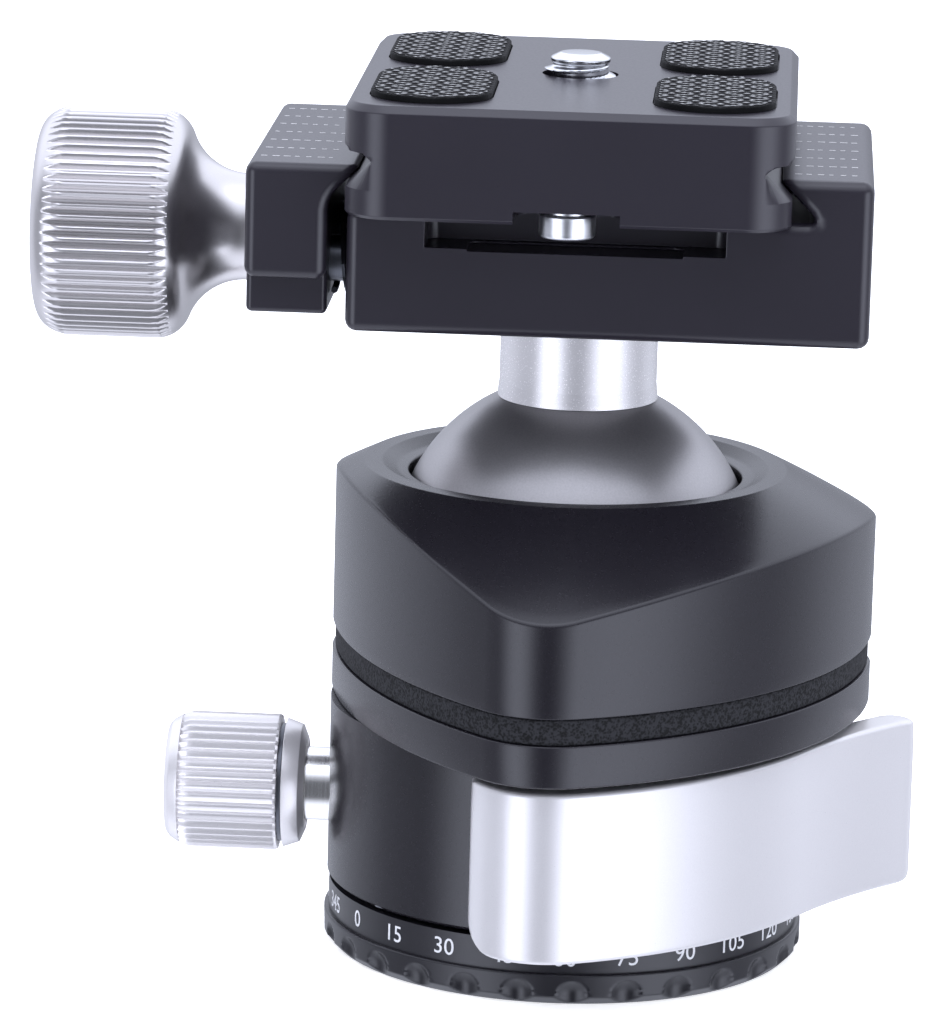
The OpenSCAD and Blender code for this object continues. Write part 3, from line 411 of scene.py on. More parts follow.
scaleNumbers = {
    "radius": 21.0, "fontSize": 2.106, "middle": 4.22, "first": -146.9, "step": 15, "count": 24,
    "proud": 0.03, "film": 0.05,
}


def makeScaleNumbers(v):
    # each number is drawn flat, then wrapped: angle = its place + x / R, at radius R + proud
    parts = []
    for k in range(v["count"]):
        curve = bpy.data.curves.new("number", "FONT")
        curve.body, curve.size, curve.space_character = str(k * v["step"]), v["fontSize"], 1.02
        curve.align_x, curve.align_y, curve.resolution_u = "CENTER", "CENTER", 5
        text = addObject("number", curve)
        mesh = bpy.data.meshes.new_from_object(text.evaluated_get(bpy.context.evaluated_depsgraph_get()))
        bpy.data.objects.remove(text)
        co = np.zeros(len(mesh.vertices) * 3)
        mesh.vertices.foreach_get("co", co)
        co = co.reshape(-1, 3)
        co[:, :2] -= (co[:, :2].min(0) + co[:, :2].max(0)) / 2
        a = math.radians(v["first"] + k * v["step"]) + co[:, 0] / v["radius"]
        r = v["radius"] + v["proud"]
        points = np.stack([r * np.cos(a), r * np.sin(a), v["middle"] + co[:, 1]], 1)
        parts.append((points, [list(p.vertices) for p in mesh.polygons]))
    offsets = np.cumsum([0] + [len(p) for p, _ in parts[:-1]])
    faces = [[i + o for i in face] for (_, group), o in zip(parts, offsets) for face in group]
    addFilm("scaleNumbers", np.concatenate([p for p, _ in parts]), faces, v["film"], "base")


makeScaleNumbers(scaleNumbers)
print("base made")


# ---- three-sided upper housing, its grip band ----

outline = {
    # x, y and radius of the front, right and left corners
    "corners": ((-0.848, -24.285, 7.4), (19.561, 3.661, 7.25), (-4.534, 3.454, 16.9)),
    "sides": (40.0, 50.0, 54.0),   # radius of the side after each corner
    "cornerSteps": 40, "sideSteps": 32,
}


def outlineArcs(v):
    # a corner arc, then the side arc after it, three times: a side's centre lies s - r from both corner centres
    c, r, s = np.array(v["corners"])[:, :2], np.array(v["corners"])[:, 2], np.array(v["sides"])
    perCorner, perSide = v["cornerSteps"], v["sideSteps"]
    far, farR = np.roll(c, -1, 0), np.roll(r, -1)
    gap = np.linalg.norm(far - c, axis=1)
    u = (far - c) / gap[:, None]
    along = ((s - r) ** 2 - (s - farR) ** 2 + gap ** 2) / (2 * gap)
    side = c + along[:, None] * u + np.sqrt((s - r) ** 2 - along ** 2)[:, None] * np.stack([-u[:, 1], u[:, 0]], 1)

    def heading(d):
        return np.arctan2(d[:, 1], d[:, 0])
    start, stop, after = heading(c - np.roll(side, 1, 0)), heading(c - side), heading(far - side)
    tc, ts = np.arange(perCorner) / perCorner, np.arange(perSide) / perSide
    sweepC, sweepS = np.mod(stop - start, 2 * math.pi), np.mod(after - stop, 2 * math.pi)
    angles = np.concatenate([np.append(start[i] + sweepC[i] * tc, stop[i] + sweepS[i] * ts) for i in range(3)])
    centres = np.concatenate([np.repeat([c[i], side[i]], [perCorner, perSide], axis=0) for i in range(3)])
    radii = np.concatenate([np.repeat([r[i], s[i]], [perCorner, perSide]) for i in range(3)])
    return centres, radii, angles, side, stop


arcCentres, arcRadii, arcAngles, sideCentres, sideStarts = outlineArcs(outline)


def outlineAt(grow):
    # outline points moved outwards: centre + (radius + grow) * (cos a, sin a)
    return arcCentres + (arcRadii + grow)[:, None] * np.stack([np.cos(arcAngles), np.sin(arcAngles)], 1)


upperHousing = {
    "bottom": 22.1, "skirtTop": 25.8, "grooveTop": 28.15, "grooveDepth": 1.0, "land": 43.6, "landRadius": 18.7,
    "reliefRadius": 17.1, "reliefDepth": 0.8, "mouthRadius": 14.75, "lipUnder": 41.6, "chamberRadius": 17.0,
    "fall": 0.474, "bow": 0.007, "edge": 0.28, "bottomEdge": 0.2, "grooveEdge": 0.12,
    "screwAt": 19.65, "screwTurns": (8, 108, 158, -138), "screwRadius": 0.92, "screwTop": 25.1,
}


def housingSurface(v):
    # rows of outline points with an offset and a height, then rows that run in to circles about the axis;
    # the top falls from the land as fall * t + bow * t^2, t the distance outside the land
    n = len(arcAngles)
    heading = np.arctan2(outlineAt(0)[:, 1], outlineAt(0)[:, 0])
    ray = np.stack([np.cos(heading), np.sin(heading)], 1)

    def ring(xy, z):
        return np.column_stack([xy, np.broadcast_to(z, n)])

    def topAt(xy):
        t = np.linalg.norm(xy, axis=1) - v["landRadius"]
        return v["land"] - v["fall"] * t - v["bow"] * t * t
    wall = filletPath([(-1.5, v["bottom"]), (0, v["bottom"]), (0, v["skirtTop"]), (-v["grooveDepth"], v["skirtTop"]),
                       (-v["grooveDepth"], v["grooveTop"]), (0, v["grooveTop"]), (0, v["grooveTop"] + 1)],
                      [v["bottomEdge"], v["grooveEdge"], 0.05, 0.05, v["grooveEdge"]], 3)
    rows = [ring(outlineAt(g), z) for g, z in wall]
    e = v["edge"]
    a, b, c = (ring(outlineAt(g), topAt(outlineAt(0)) - drop) for g, drop in ((0, e), (0, 0), (-e, 0)))
    c[:, 2] = topAt(outlineAt(-e))
    rows += [(1 - t) ** 2 * a + 2 * t * (1 - t) * b + t * t * c for t in np.linspace(0, 1, 6)]
    reach = np.linalg.norm(outlineAt(-e), axis=1)
    for t in np.linspace(0, 1, 13)[1:]:
        xy = ray * (reach + (v["landRadius"] + 0.25 - reach) * t)[:, None]
        rows.append(ring(xy, topAt(xy)))
    inner = filletPath([(v["landRadius"] + 0.25, v["land"] - 0.12), (v["landRadius"], v["land"]),
                        (v["reliefRadius"], v["land"]), (v["mouthRadius"] + 1.0, v["land"] - 0.68),
                        (v["mouthRadius"], v["land"] - v["reliefDepth"]),
                        (v["mouthRadius"], v["lipUnder"]), (v["chamberRadius"], v["lipUnder"]),
                        (v["chamberRadius"], v["bottom"]), (v["chamberRadius"] + 1, v["bottom"])],
                       [0.3, 0.35, 1.2, 0.2, 0.1, 0.1, 0.1], 4)[1:-1]
    rows += [ring(ray * r, z) for r, z in inner]
    return makeMesh("upperHousing", np.stack(rows), gridFaces(len(rows), n, True, True), sharp=40)


def makeUpperHousing(v):
    # the housing's shell with its screw holes, at (R cos a, R sin a)
    piece = addObject("upperHousingShell", housingSurface(v))
    for a in np.radians(v["screwTurns"]):
        x, y = v["screwAt"] * math.cos(a), v["screwAt"] * math.sin(a)
        cutBy(piece, uprightRod(v["screwRadius"], x, y, v["bottom"] - 1, v["screwTop"]))
    finishPiece(piece, "housing", finishes["housing"], ["upper_housing"])


makeUpperHousing(upperHousing)

gripBand = {"from": 25.82, "to": 28.13, "outer": -0.25, "inner": -0.98, "edge": 0.2}


def makeGripBand(v):
    # a rounded strip section carried round the outline
    low, high, start = v["from"], v["to"], (v["inner"] + 0.1, v["from"])
    section = filletPath([start, (v["outer"], low), (v["outer"], high), (v["inner"], high), (v["inner"], low), start],
                         [v["edge"], v["edge"], 0.05, 0.05], 3)
    points = np.stack([np.column_stack([outlineAt(g), np.full(len(arcAngles), z)]) for g, z in section[:-1]])
    mesh = makeMesh("gripBand", points, gridFaces(len(points), len(arcAngles), True, True), sharp=40)
    finishPiece(addObject("gripBandRubber", mesh), "housing", finishes["band"], ["grip_band"])


makeGripBand(gripBand)
print("housing made")


# ---- wrap-round lever ----

lockLever = {
    "bottom": 6.4, "top": 21.4, "inset": 0.9, "left": -7.1, "bore": 21.5,
    "flareTurn": -29.0, "flareRadius": 56.0, "flareSweep": 16.0, "tab": 3.2,
    "edge": 0.42, "border": 0.6, "footCorner": 2.6, "headCorner": 0.6, "tabCorner": 0.9,
    "screwTurns": (-48, -34), "screwHeight": 19.4, "screwRadius": 1.02, "screwDepth": 2.2,
}


def leverRows(v):
    # height and inset of each row: a quarter circle of radius edge at the foot and the top, with a flat border inside
    a = np.radians(np.linspace(0, 90, 6))
    foot = np.stack([v["bottom"] + v["edge"] * (1 - np.cos(a)), v["edge"] * (1 - np.sin(a))], 1)
    foot = np.concatenate([[(v["bottom"], v["edge"] + v["border"])], foot])
    climb = np.array([0.75, 1.1, 1.5, 2.0, 2.6, 5.0, 7.5, 10.0, 13.0]) + v["bottom"]
    middle = np.stack([climb, np.zeros_like(climb)], 1)
    head = np.stack([v["bottom"] + v["top"] - foot[::-1, 0], foot[::-1, 1]], 1)
    return np.concatenate([foot, middle, head])


def cornerSetback(height, radius):
    # how far a round corner stands back at a height above its edge: r - sqrt(r^2 - (r - h)^2)
    h = np.clip(radius - height, 0, radius)
    return radius - np.sqrt(radius ** 2 - h ** 2)


def leverSurface(v):
    # per row, arcs in plan: front corner, side, flare, tip, flare back, bore; every radius shifted by the row's inset
    z, d = leverRows(v).T
    up, down = z - v["bottom"], v["top"] - z
    left = v["left"] + d + np.maximum(cornerSetback(up, v["footCorner"]), cornerSetback(down, v["headCorner"]))
    short = np.maximum(cornerSetback(up, v["tabCorner"]), cornerSetback(down, v["tabCorner"]))
    corner, cornerR = np.array(outline["corners"][0][:2]), outline["corners"][0][2] - v["inset"] - d
    side, sideR = sideCentres[0], outline["sides"][0] - v["inset"] - d
    turn = math.radians(v["flareTurn"])
    aim = np.array([math.cos(turn), math.sin(turn)])
    flare = side + (outline["sides"][0] - v["inset"] + v["flareRadius"]) * aim
    sweepTo = turn + math.pi - math.radians(v["flareSweep"]) + short / v["flareRadius"]
    middleR = v["flareRadius"] + v["tab"] / 2
    tip = flare + middleR * np.stack([np.cos(sweepTo), np.sin(sweepTo)], 1)
    boreR, backR = v["bore"] + d, v["flareRadius"] + v["tab"] - d
    # where the flare's back meets the bore, or comes nearest to it: cosine rule in the triangle of the two centres
    reach = np.linalg.norm(flare)
    cosine = (backR ** 2 + reach ** 2 - boreR ** 2) / (2 * backR * reach)
    meetBack = math.atan2(-flare[1], -flare[0]) - np.arccos(np.clip(cosine, -1, 1))
    meet = flare + backR[:, None] * np.stack([np.cos(meetBack), np.sin(meetBack)], 1)
    meetBore = np.arctan2(meet[:, 1], meet[:, 0])

    def arc(centre, radius, fromA, toA, count, skip=0):
        t = (np.arange(count) + skip) / (count - 1 + skip)
        a = fromA[:, None] + (toA - fromA)[:, None] * t
        middle, spoke = np.broadcast_to(centre, (len(z), 2))[:, None], np.broadcast_to(radius, z.shape)[:, None, None]
        return middle + spoke * np.stack([np.cos(a), np.sin(a)], -1)
    full = np.zeros_like(z)
    outer = [arc(corner, cornerR, -np.arccos(np.clip((left - corner[0]) / cornerR, -1, 1)), full + sideStarts[0], 26),
             arc(side, sideR, full + sideStarts[0], full + turn, 30, 1),
             arc(flare, v["flareRadius"] + d, full + turn + math.pi, sweepTo, 20, 1),
             arc(tip, v["tab"] / 2 - d, sweepTo - math.pi, sweepTo - math.pi / 2, 6, 1)]
    inner = [arc(tip, v["tab"] / 2 - d, sweepTo - math.pi / 2, sweepTo, 6, 1),
             arc(flare, backR, sweepTo, meetBack, 20, 1),
             arc(np.zeros(2), boreR, meetBore, -np.arccos(left / boreR), 56, 1)]
    return z, np.concatenate(outer, 1), np.concatenate(inner, 1)


def makeLever(v):
    # rows of the plan outline at their heights, flat caps, and screw holes that run out from the bore
    z, outer, inner = leverSurface(v)
    half, rows = outer.shape[1], len(z)
    ringXY = np.concatenate([outer, inner], 1)
    points = np.concatenate([ringXY, np.broadcast_to(z[:, None, None], (rows, 2 * half, 1))], -1)
    ends = [range(2 * half), range((rows - 1) * 2 * half, rows * 2 * half)]
    piece = addObject("leverWing", makeMesh("lever", points, gridFaces(rows, 2 * half, wrapColumns=True), ends, 40))
    low, high, r = v["bore"] - 1, v["bore"] + v["screwDepth"], v["screwRadius"]
    for a in np.radians(v["screwTurns"]):
        rod = lathe("rod", [(0, low), (r, low), (r, high), (0, high)], 32, alongX(0, 0, 1))
        rod.transform(Matrix.Translation((0, 0, v["screwHeight"] * mm)) @ Matrix.Rotation(a, 4, "Z"))
        cutBy(piece, rod)
    finishPiece(flatFaces(piece), "lever", finishes["lever"], ["lock_lever"])


makeLever(lockLever)
print("lever made")


# ---- knobs ----

panKnob = {
    "start": -23.25, "height": 13.3, "length": 12.45, "radius": 6.1, "ribs": 42, "ribDepth": 0.34,
    "faceRadius": 4.2, "collarFrom": 0.45, "collarRadius": 5.28, "collarTo": 1.9, "collarEnd": 5.8, "gapRadius": 5.3,
    "ribsFrom": 2.36, "ribsTo": 10.25, "ribsPast": 0.95, "crestWidth": 1.06, "endRadius": 5.35, "endBevel": 0.4,
    "recessRadius": 3.95, "recessDepth": 1.2, "shaftBore": 3.32, "shaftBoreTo": 1.9,
}


def makePanKnob(v):
    # tapered collar, gap whose floor carries painted shade, ribbed drum, bevelled end; between crests the ribs hollow
    # out by D * (1 - s^2), s from
    # -1 to 1; past the drum the radius falls as t^1.5, t the way along to the end
    r, end, gap = v["radius"], v["length"] - v["endBevel"], v["gapRadius"]
    profile = filletPath([(v["shaftBore"], v["shaftBoreTo"]), (v["shaftBore"], v["recessDepth"]),
                          (v["recessRadius"], v["recessDepth"]), (v["recessRadius"], 0.06), (v["faceRadius"], 0.0),
                          (v["collarRadius"], v["collarFrom"]), (v["collarEnd"], v["collarTo"]),
                          (gap, v["collarTo"] + 0.06), (gap, v["ribsFrom"]),
                          (r - 0.1, v["ribsFrom"]), (r, v["ribsFrom"] + 0.25), (r, v["ribsTo"]), (v["endRadius"], end),
                          (v["endRadius"] - 0.5, v["length"]), (2.0, v["length"]), (0, v["length"])],
                         [0.1, 0.1, 0.12, 0.12, 0.12, 0.06, 0.06, 0.06, 0.05, 0.08, 0.3, 0.3, 0.25, 0.1], 3)
    ribRows = np.linspace(v["ribsFrom"] + 0.6, v["ribsTo"] - 0.4, 6)
    fall = end - v["ribsTo"]
    down = np.array([0.1, 0.3, 0.5, 0.7, 0.9, 0.99, 1.03, 1.15, 1.35]) * v["ribsPast"] / fall
    coneRows = np.column_stack([r + down ** 1.5 * (v["endRadius"] - r), v["ribsTo"] + down * fall])
    near, far = profile[profile[:, 1] <= v["ribsFrom"] + 0.5], profile[profile[:, 1] > end - 0.45]
    profile = np.concatenate([near, np.column_stack([np.full(6, r), ribRows]), coneRows, far])
    columns = v["ribs"] * 10
    a = np.arange(columns) * 2 * math.pi / columns
    across = np.mod(a * v["ribs"] / (2 * math.pi), 1) * 2 - 1
    hollow = 1 - np.clip(np.abs(across) * v["crestWidth"], 0, 1) ** 2         # 0 on a crest, 1 between crests
    base, z = profile[:, :1], profile[:, 1:]
    ribbed = (z > v["ribsFrom"] - 0.02) & (z < v["ribsTo"] + v["ribsPast"]) & (base > gap - 0.2)
    radius = np.where(ribbed, base - v["ribDepth"] * hollow[None], base)
    local = np.stack([radius * np.cos(a), radius * np.sin(a), np.repeat(z, columns, 1)], -1).reshape(-1, 3)
    cap = turned([(0, v["shaftBoreTo"]), (v["shaftBore"], v["shaftBoreTo"])], columns).reshape(-1, 3)
    points = alongX(v["start"], v["height"])(np.concatenate([cap, local[columns:]]))
    mesh = makeMesh("panKnob", points, gridFaces(len(profile) + 1, columns, wrapColumns=True), sharp=34)
    piece = addObject("panLockKnobBody", mesh)
    finishPiece(piece, "pan_knob", finishes["lockKnob"], ["pan_lock_knob"])
    mesh.materials.append(finishes["steelX"])                                 # the gap's floor takes the darker rod steel as painted shade in the narrow groove
    centre = np.zeros(len(mesh.polygons) * 3)
    mesh.polygons.foreach_get("center", centre)
    x, y, z = centre.reshape(-1, 3).T / mm
    along, out = v["start"] - x, np.hypot(y, z - v["height"])
    # faces on the gap's floor get the darker second material: painted shade
    shadedGapFloor = (along > v["collarTo"]) & (along < v["ribsFrom"] + 0.01) & (out < gap + 0.1) & (out > gap - 0.4)
    mesh.polygons.foreach_set("material_index", shadedGapFloor.astype(np.int32))


makePanKnob(panKnob)

clampKnob = {
    "start": -28.65, "height": 63.75, "neckRadius": 4.7, "flareFrom": 0.8, "neckLength": 8.6, "shoulder": 2.9,
    "drumRadius": 10.1, "drumLength": 10.55, "flutes": 64, "fluteDepth": 0.46, "endLength": 3.0, "endDrop": 2.3,
    "screwBore": 2.52, "screwBoreTo": 16.25, "capRadius": 6.02, "capDepth": 0.8,
}


def makeClampKnob(v):
    # neck: an arc hollow to the axis runs on into the shoulder's arc, (r1 + r2)^2 = L^2 + (r1 + r2 - D)^2 for length L
    # and rise D; radius = min(profile, R - depth * V(a)): a flute fades out where the profile curves in below it
    total, r, neck = v["neckLength"] + v["drumLength"], v["drumRadius"], v["neckRadius"]
    length, rise = v["neckLength"] - v["flareFrom"], r - neck
    both = (length ** 2 + rise ** 2) / (2 * rise)
    flare, turn = both - v["shoulder"], math.asin(length / both)
    a = np.linspace(0, turn, 18)
    horn = np.column_stack([neck + flare * (1 - np.cos(a)), v["flareFrom"] + flare * np.sin(a)])
    b = np.linspace(turn, 0, 18)[1:]
    shoulder = np.column_stack([r - v["shoulder"] * (1 - np.cos(b)), v["neckLength"] - v["shoulder"] * np.sin(b)])
    drum = np.column_stack([np.full(8, r), np.linspace(v["neckLength"] + 0.4, total - v["endLength"] - 0.4, 8)])
    c = np.radians(np.linspace(0, 90, 18))
    end = np.column_stack([r - v["endDrop"] * (1 - np.cos(c)), total - v["endLength"] * (1 - np.sin(c))])
    seat = total - v["capDepth"]
    hole, floor = v["screwBore"], v["screwBoreTo"]
    bore = [(0, floor), (hole, floor), (hole, 0), (neck - 0.15, 0), (neck, 0.15)]
    recess = [(v["capRadius"], total), (v["capRadius"], seat), (0, seat)]
    profile = np.concatenate([bore, horn, shoulder, drum, end, recess])
    columns = v["flutes"] * 12
    t = np.arange(columns) * 2 * math.pi / columns
    phase = np.mod(t * v["flutes"] / (2 * math.pi), 1)
    groove = np.clip(1.3 - np.abs(phase * 2 - 1) * 1.75, 0, 1)               # 1 in the flute's floor, 0 on the land
    z = profile[:, 1:]
    onDrum = (z > v["neckLength"] - v["shoulder"]) & (z < total - 0.05) & (profile[:, :1] > v["capRadius"] + 0.5)
    radius = np.where(onDrum, np.minimum(profile[:, :1], r - v["fluteDepth"] * groove[None]), profile[:, :1])
    local = np.stack([radius * np.cos(t), radius * np.sin(t), np.repeat(z, columns, 1)], -1).reshape(-1, 3)
    points = alongX(v["start"], v["height"])(local)
    mesh = makeMesh("clampKnob", points, gridFaces(len(profile), columns, wrapColumns=True), sharp=34)
    finishPiece(addObject("clampKnobBody", mesh), "knob", finishes["knob"], ["clamp_knob"])


makeClampKnob(clampKnob)
print("knobs made")


# ---- clamp ----

clampBody = {
    "left": -19.5, "right": 25.2, "half": 17.5, "foot": 57.9, "deck": 68.6, "jawTop": 72.3, "slope": 89.3,
    "recessHalf": 12.8, "recessFloor": 65.5, "recessLength": 4.8, "recessCorner": 1.0,
    "stepHalf": 9.2, "stepDrop": 0.2, "stepShort": 0.6,
    "edge": 1.0, "boltRadius": 3.02, "boltHead": 5.42, "boltSeat": 65.18,
    "pinAt": 5.3, "pinRadius": 1.02, "pinTop": 60.4,
    "rodAt": 11.0, "rodHeight": 63.2, "rodRadius": 2.02, "rodEnd": 0.5, "springRadius": 3.3, "springEnd": -13.5,
    "screwHeight": 63.75, "screwRadius": 2.54, "screwEnd": -7.0,
}


def sideRod(radius, xFrom, xTo, y, z):
    # a closed cylinder about the line (y, z), for a bore along X
    length = xTo - xFrom
    mesh = lathe("rod", [(0, 0), (radius, 0), (radius, length), (0, length)], 40, alongX(xFrom, z, 1))
    mesh.transform(Matrix.Translation((0, y * mm, 0)))
    return mesh


def makeClampBody(v):
    # foot, deck and fixed jaw as one profile carried along Y, a stepped recess at each end, then the bores
    profile = [(v["left"], v["foot"]), (v["right"], v["foot"]), (v["right"], v["jawTop"]),
               (v["slope"] - v["jawTop"], v["jawTop"]), (v["slope"] - v["deck"], v["deck"]), (v["left"], v["deck"])]
    piece = bevelled(addObject("clampBodyBlock", bar("clamp", profile, -v["half"], v["half"])), v["edge"])
    length, floor = v["recessLength"], v["recessFloor"]
    steps = (v["recessHalf"], length, floor), (v["stepHalf"], length - v["stepShort"], floor - v["stepDrop"])
    for s in (-1, 1):
        for half, length, floor in steps:
            plan = openCut(half, v["half"] - length, v["half"] + 2, s, v["recessCorner"])
            cutBy(piece, slab("recess", plan, floor, v["deck"] + 2))
    bevelled(piece, 0.12, 2, 55)
    low, side = v["foot"] - 1, v["left"] - 1
    cutBy(piece, uprightRod(v["boltHead"], 0, 0, v["boltSeat"], v["deck"] + 2),
          uprightRod(v["boltRadius"], 0, 0, low, v["deck"]),
          *[uprightRod(v["pinRadius"], s * v["pinAt"], 0, low, v["pinTop"]) for s in (1, -1)],
          sideRod(v["screwRadius"], side, v["screwEnd"], 0, v["screwHeight"]))
    for s in (-1, 1):
        cutBy(piece, sideRod(v["rodRadius"], side, v["rodEnd"], s * v["rodAt"], v["rodHeight"]),
              sideRod(v["springRadius"], side, v["springEnd"], s * v["rodAt"], v["rodHeight"]))
    finishPiece(flatFaces(piece), "clamp", finishes["clamp"], ["clamp_body"])


makeClampBody(clampBody)

slidingJaw = {
    "outer": -28.2, "inner": -21.2, "half": 17.5, "shoulder": 62.3, "top": 72.3, "slope": 90.5, "edge": 0.9,
    "foot": 58.9, "footHalf": 15.0, "footEdge": 0.5, "footInset": 0.02, "footInto": 1.2,
    "screwBore": 2.82, "rodBore": 2.05, "rodTo": -26.95,
}


def makeSlidingJaw(v):
    # the jaw's profile carried along Y and joined to a narrower foot, then the bores
    profile = [(v["outer"], v["shoulder"]), (v["inner"], v["shoulder"]), (v["inner"], v["slope"] + v["inner"]),
               (v["top"] - v["slope"], v["top"]), (v["outer"], v["top"])]
    upper = bevelled(addObject("slidingJawBlock", bar("jaw", profile, -v["half"], v["half"])), v["edge"])
    left, right, head = v["outer"] + v["footInset"], v["inner"] - v["footInset"], v["shoulder"] + v["footInto"]
    low = [(left, v["foot"]), (right, v["foot"]), (right, head), (left, head)]
    lower = bevelled(addObject("jawFoot", bar("jawFoot", low, -v["footHalf"], v["footHalf"])), v["footEdge"])
    join = upper.modifiers.new("foot", "BOOLEAN")
    join.operation, join.object, join.solver = "UNION", lower, "EXACT"
    applied(upper)
    bpy.data.objects.remove(lower)
    c, inner = clampBody, v["inner"] + 1
    cutBy(upper, sideRod(v["screwBore"], v["outer"] - 1, inner, 0, c["screwHeight"]),
          *[sideRod(v["rodBore"], v["rodTo"], inner, s * c["rodAt"], c["rodHeight"]) for s in (-1, 1)])
    finishPiece(flatFaces(upper), "jaw", finishes["clamp"], ["sliding_jaw"])


makeSlidingJaw(slidingJaw)

jawTicks = {
    "top": 72.3, "rows": (-13.6, -9.1, -4.6, 0.0, 4.6, 9.1, 13.6), "left": (-27.2, -19.6), "right": (18.4, 24.4),
    "mark": 0.55, "gap": 0.42, "width": 0.13, "proud": 0.012, "film": 0.02, "seed": 7,
}


def makeJawTicks(v):
    # short laser marks in rows across each jaw: rectangles laid on its top, their lengths set by a fixed seed
    random = np.random.default_rng(v["seed"])
    for name, body, (xFrom, xTo) in (("leftJawMarks", "jaw", v["left"]), ("rightJawMarks", "clamp", v["right"])):
        count = int((xTo - xFrom) / (v["mark"] + v["gap"]))
        x = xFrom + np.arange(count) * (v["mark"] + v["gap"])
        xx, yy = np.meshgrid(x, np.array(v["rows"]))
        length = v["mark"] * random.uniform(0.6, 1.2, xx.shape)
        zz = np.full(xx.shape, v["top"] + v["proud"])
        flat = np.stack([np.stack([xx + length * cx, yy + v["width"] * cy, zz], -1)
                         for cx, cy in ((0, -0.5), (1, -0.5), (1, 0.5), (0, 0.5))], 2)
        addFilm(name, flat, np.arange(flat.size // 3).reshape(-1, 4).tolist(), v["film"], body)


makeJawTicks(jawTicks)
print("clamp made")


# ---- quick-release plate, pads and screws ----

plate = {
    "middle": -0.6, "foot": 68.65, "halfWidth": 19.0, "halfLength": 23.3, "corner": 4.0, "thick": 9.65, "chamfer": 0.62,
    "grooveIn": 2.6, "grooveAt": 4.8, "lipFrom": 5.35, "lipUnder": 5.55, "lipTo": 6.0, "flangeIn": 0.15,
    "screwRadius": 3.33, "headBore": 6.3, "headRoom": 4.25, "clipBore": 6.82, "clipFrom": 0.4, "clipTo": 0.92,
    "notchHalf": 4.5, "notchLength": 5.8, "notchHeight": 1.1, "notchCorner": 1.0,
    "stopAt": 20.3, "stopBore": 1.92, "stopDepth": 4.3,
}

gripPads = {
    "halfWidth": 5.15, "length": 19.0, "across": 12.0, "along": 11.3, "pocket": 0.5, "rise": 0.6, "gap": 0.12,
    "pitch": 1.32, "slope": 0.62, "ridge": 0.62, "relief": 0.2, "cell": 0.13, "rim": 0.35, "rimStrand": 0.3,
}


def roundRectangle(halfX, halfY, radius):
    # quarter circles about the four corner centres: x = X - r + r cos a, y = Y - r + r sin a, mirrored
    a = np.radians(np.linspace(0, 90, 25))
    x, y = halfX - radius + radius * np.cos(a), halfY - radius + radius * np.sin(a)
    corners = ((1, 1, 1), (-1, 1, -1), (-1, -1, 1), (1, -1, -1))
    return np.concatenate([np.stack([sx * x, sy * y], 1)[::order] for sx, sy, order in corners])


def padOutline(v, grow):
    # a strip closed by two half circles
    w, straight = v["halfWidth"] + grow, v["length"] / 2 - v["halfWidth"]
    a = np.radians(np.linspace(0, 180, 40))
    end = np.stack([w * np.cos(a), straight + w * np.sin(a)], 1)
    return np.concatenate([end, -end])


def padCentres(v):
    # two by two about the plate's middle
    return [(plate["middle"] + sx * v["across"], sy * v["along"]) for sx in (-1, 1) for sy in (-1, 1)]


def makePlate(v):
    # rows of a rounded rectangle shrunk by the edge, its x cut off at the profile's half width
    w, t, c = v["halfWidth"], v["thick"], v["chamfer"]
    root, flange = w - v["grooveIn"], w - v["flangeIn"]
    path = filletPath([(flange - 0.3, 0), (flange, 0.3), (flange, v["grooveAt"] - (flange - root)),
                       (root, v["grooveAt"]), (root + 0.7, v["lipFrom"]), (w - 0.5, v["lipUnder"]), (w, v["lipTo"]),
                       (w, t - c), (w - c, t), (w - c - 0.6, t)],
                      [0.15, 0.25, 0.25, 0.2, 0.2, 0.3, 0.22, 0.22], 3)
    foot, top = path[:, 1] < 0.5, path[:, 1] > t - c - 0.2
    shrink = np.where(foot, flange - path[:, 0], np.where(top, w - path[:, 0], 0))
    rows = []
    for (x, z), e in zip(path, shrink):
        flat = roundRectangle(w - e, v["halfLength"] - e, v["corner"] - e)
        flat[:, 0] = np.clip(flat[:, 0], -x, x) + v["middle"]
        rows.append(np.column_stack([flat, np.full(len(flat), v["foot"] + z)]))
    n, count = len(rows[0]), len(rows)
    ends = [range(n), range(n * (count - 1), n * count)]
    mesh = makeMesh("plate", np.concatenate(rows), gridFaces(count, n, wrapColumns=True), ends, 34)
    piece = addObject("quickReleasePlateBody", mesh)
    m, z0 = v["middle"], v["foot"]
    for s in (-1, 1):
        plan = openCut(v["notchHalf"], v["halfLength"] - v["notchLength"], v["halfLength"] + 2, s, v["notchCorner"], m)
        cutBy(piece, slab("notch", plan, z0 - 1, z0 + v["notchHeight"]),
              uprightRod(v["stopBore"], m, s * v["stopAt"], z0 - 1, z0 + v["stopDepth"]))
    for at in padCentres(gripPads):
        pocket = padOutline(gripPads, gripPads["gap"]) + at
        cutBy(piece, slab("pocket", pocket, z0 + t - gripPads["pocket"], z0 + t + 1))
    cutBy(piece, uprightRod(v["screwRadius"], m, 0, z0 - 1, z0 + t + 1),
          uprightRod(v["headBore"], m, 0, z0 - 1, z0 + v["headRoom"]),
          uprightRod(v["clipBore"], m, 0, z0 + v["clipFrom"], z0 + v["clipTo"]))
    finishPiece(flatFaces(piece), "plate", finishes["clamp"], ["quick_release_plate"])


makePlate(plate)


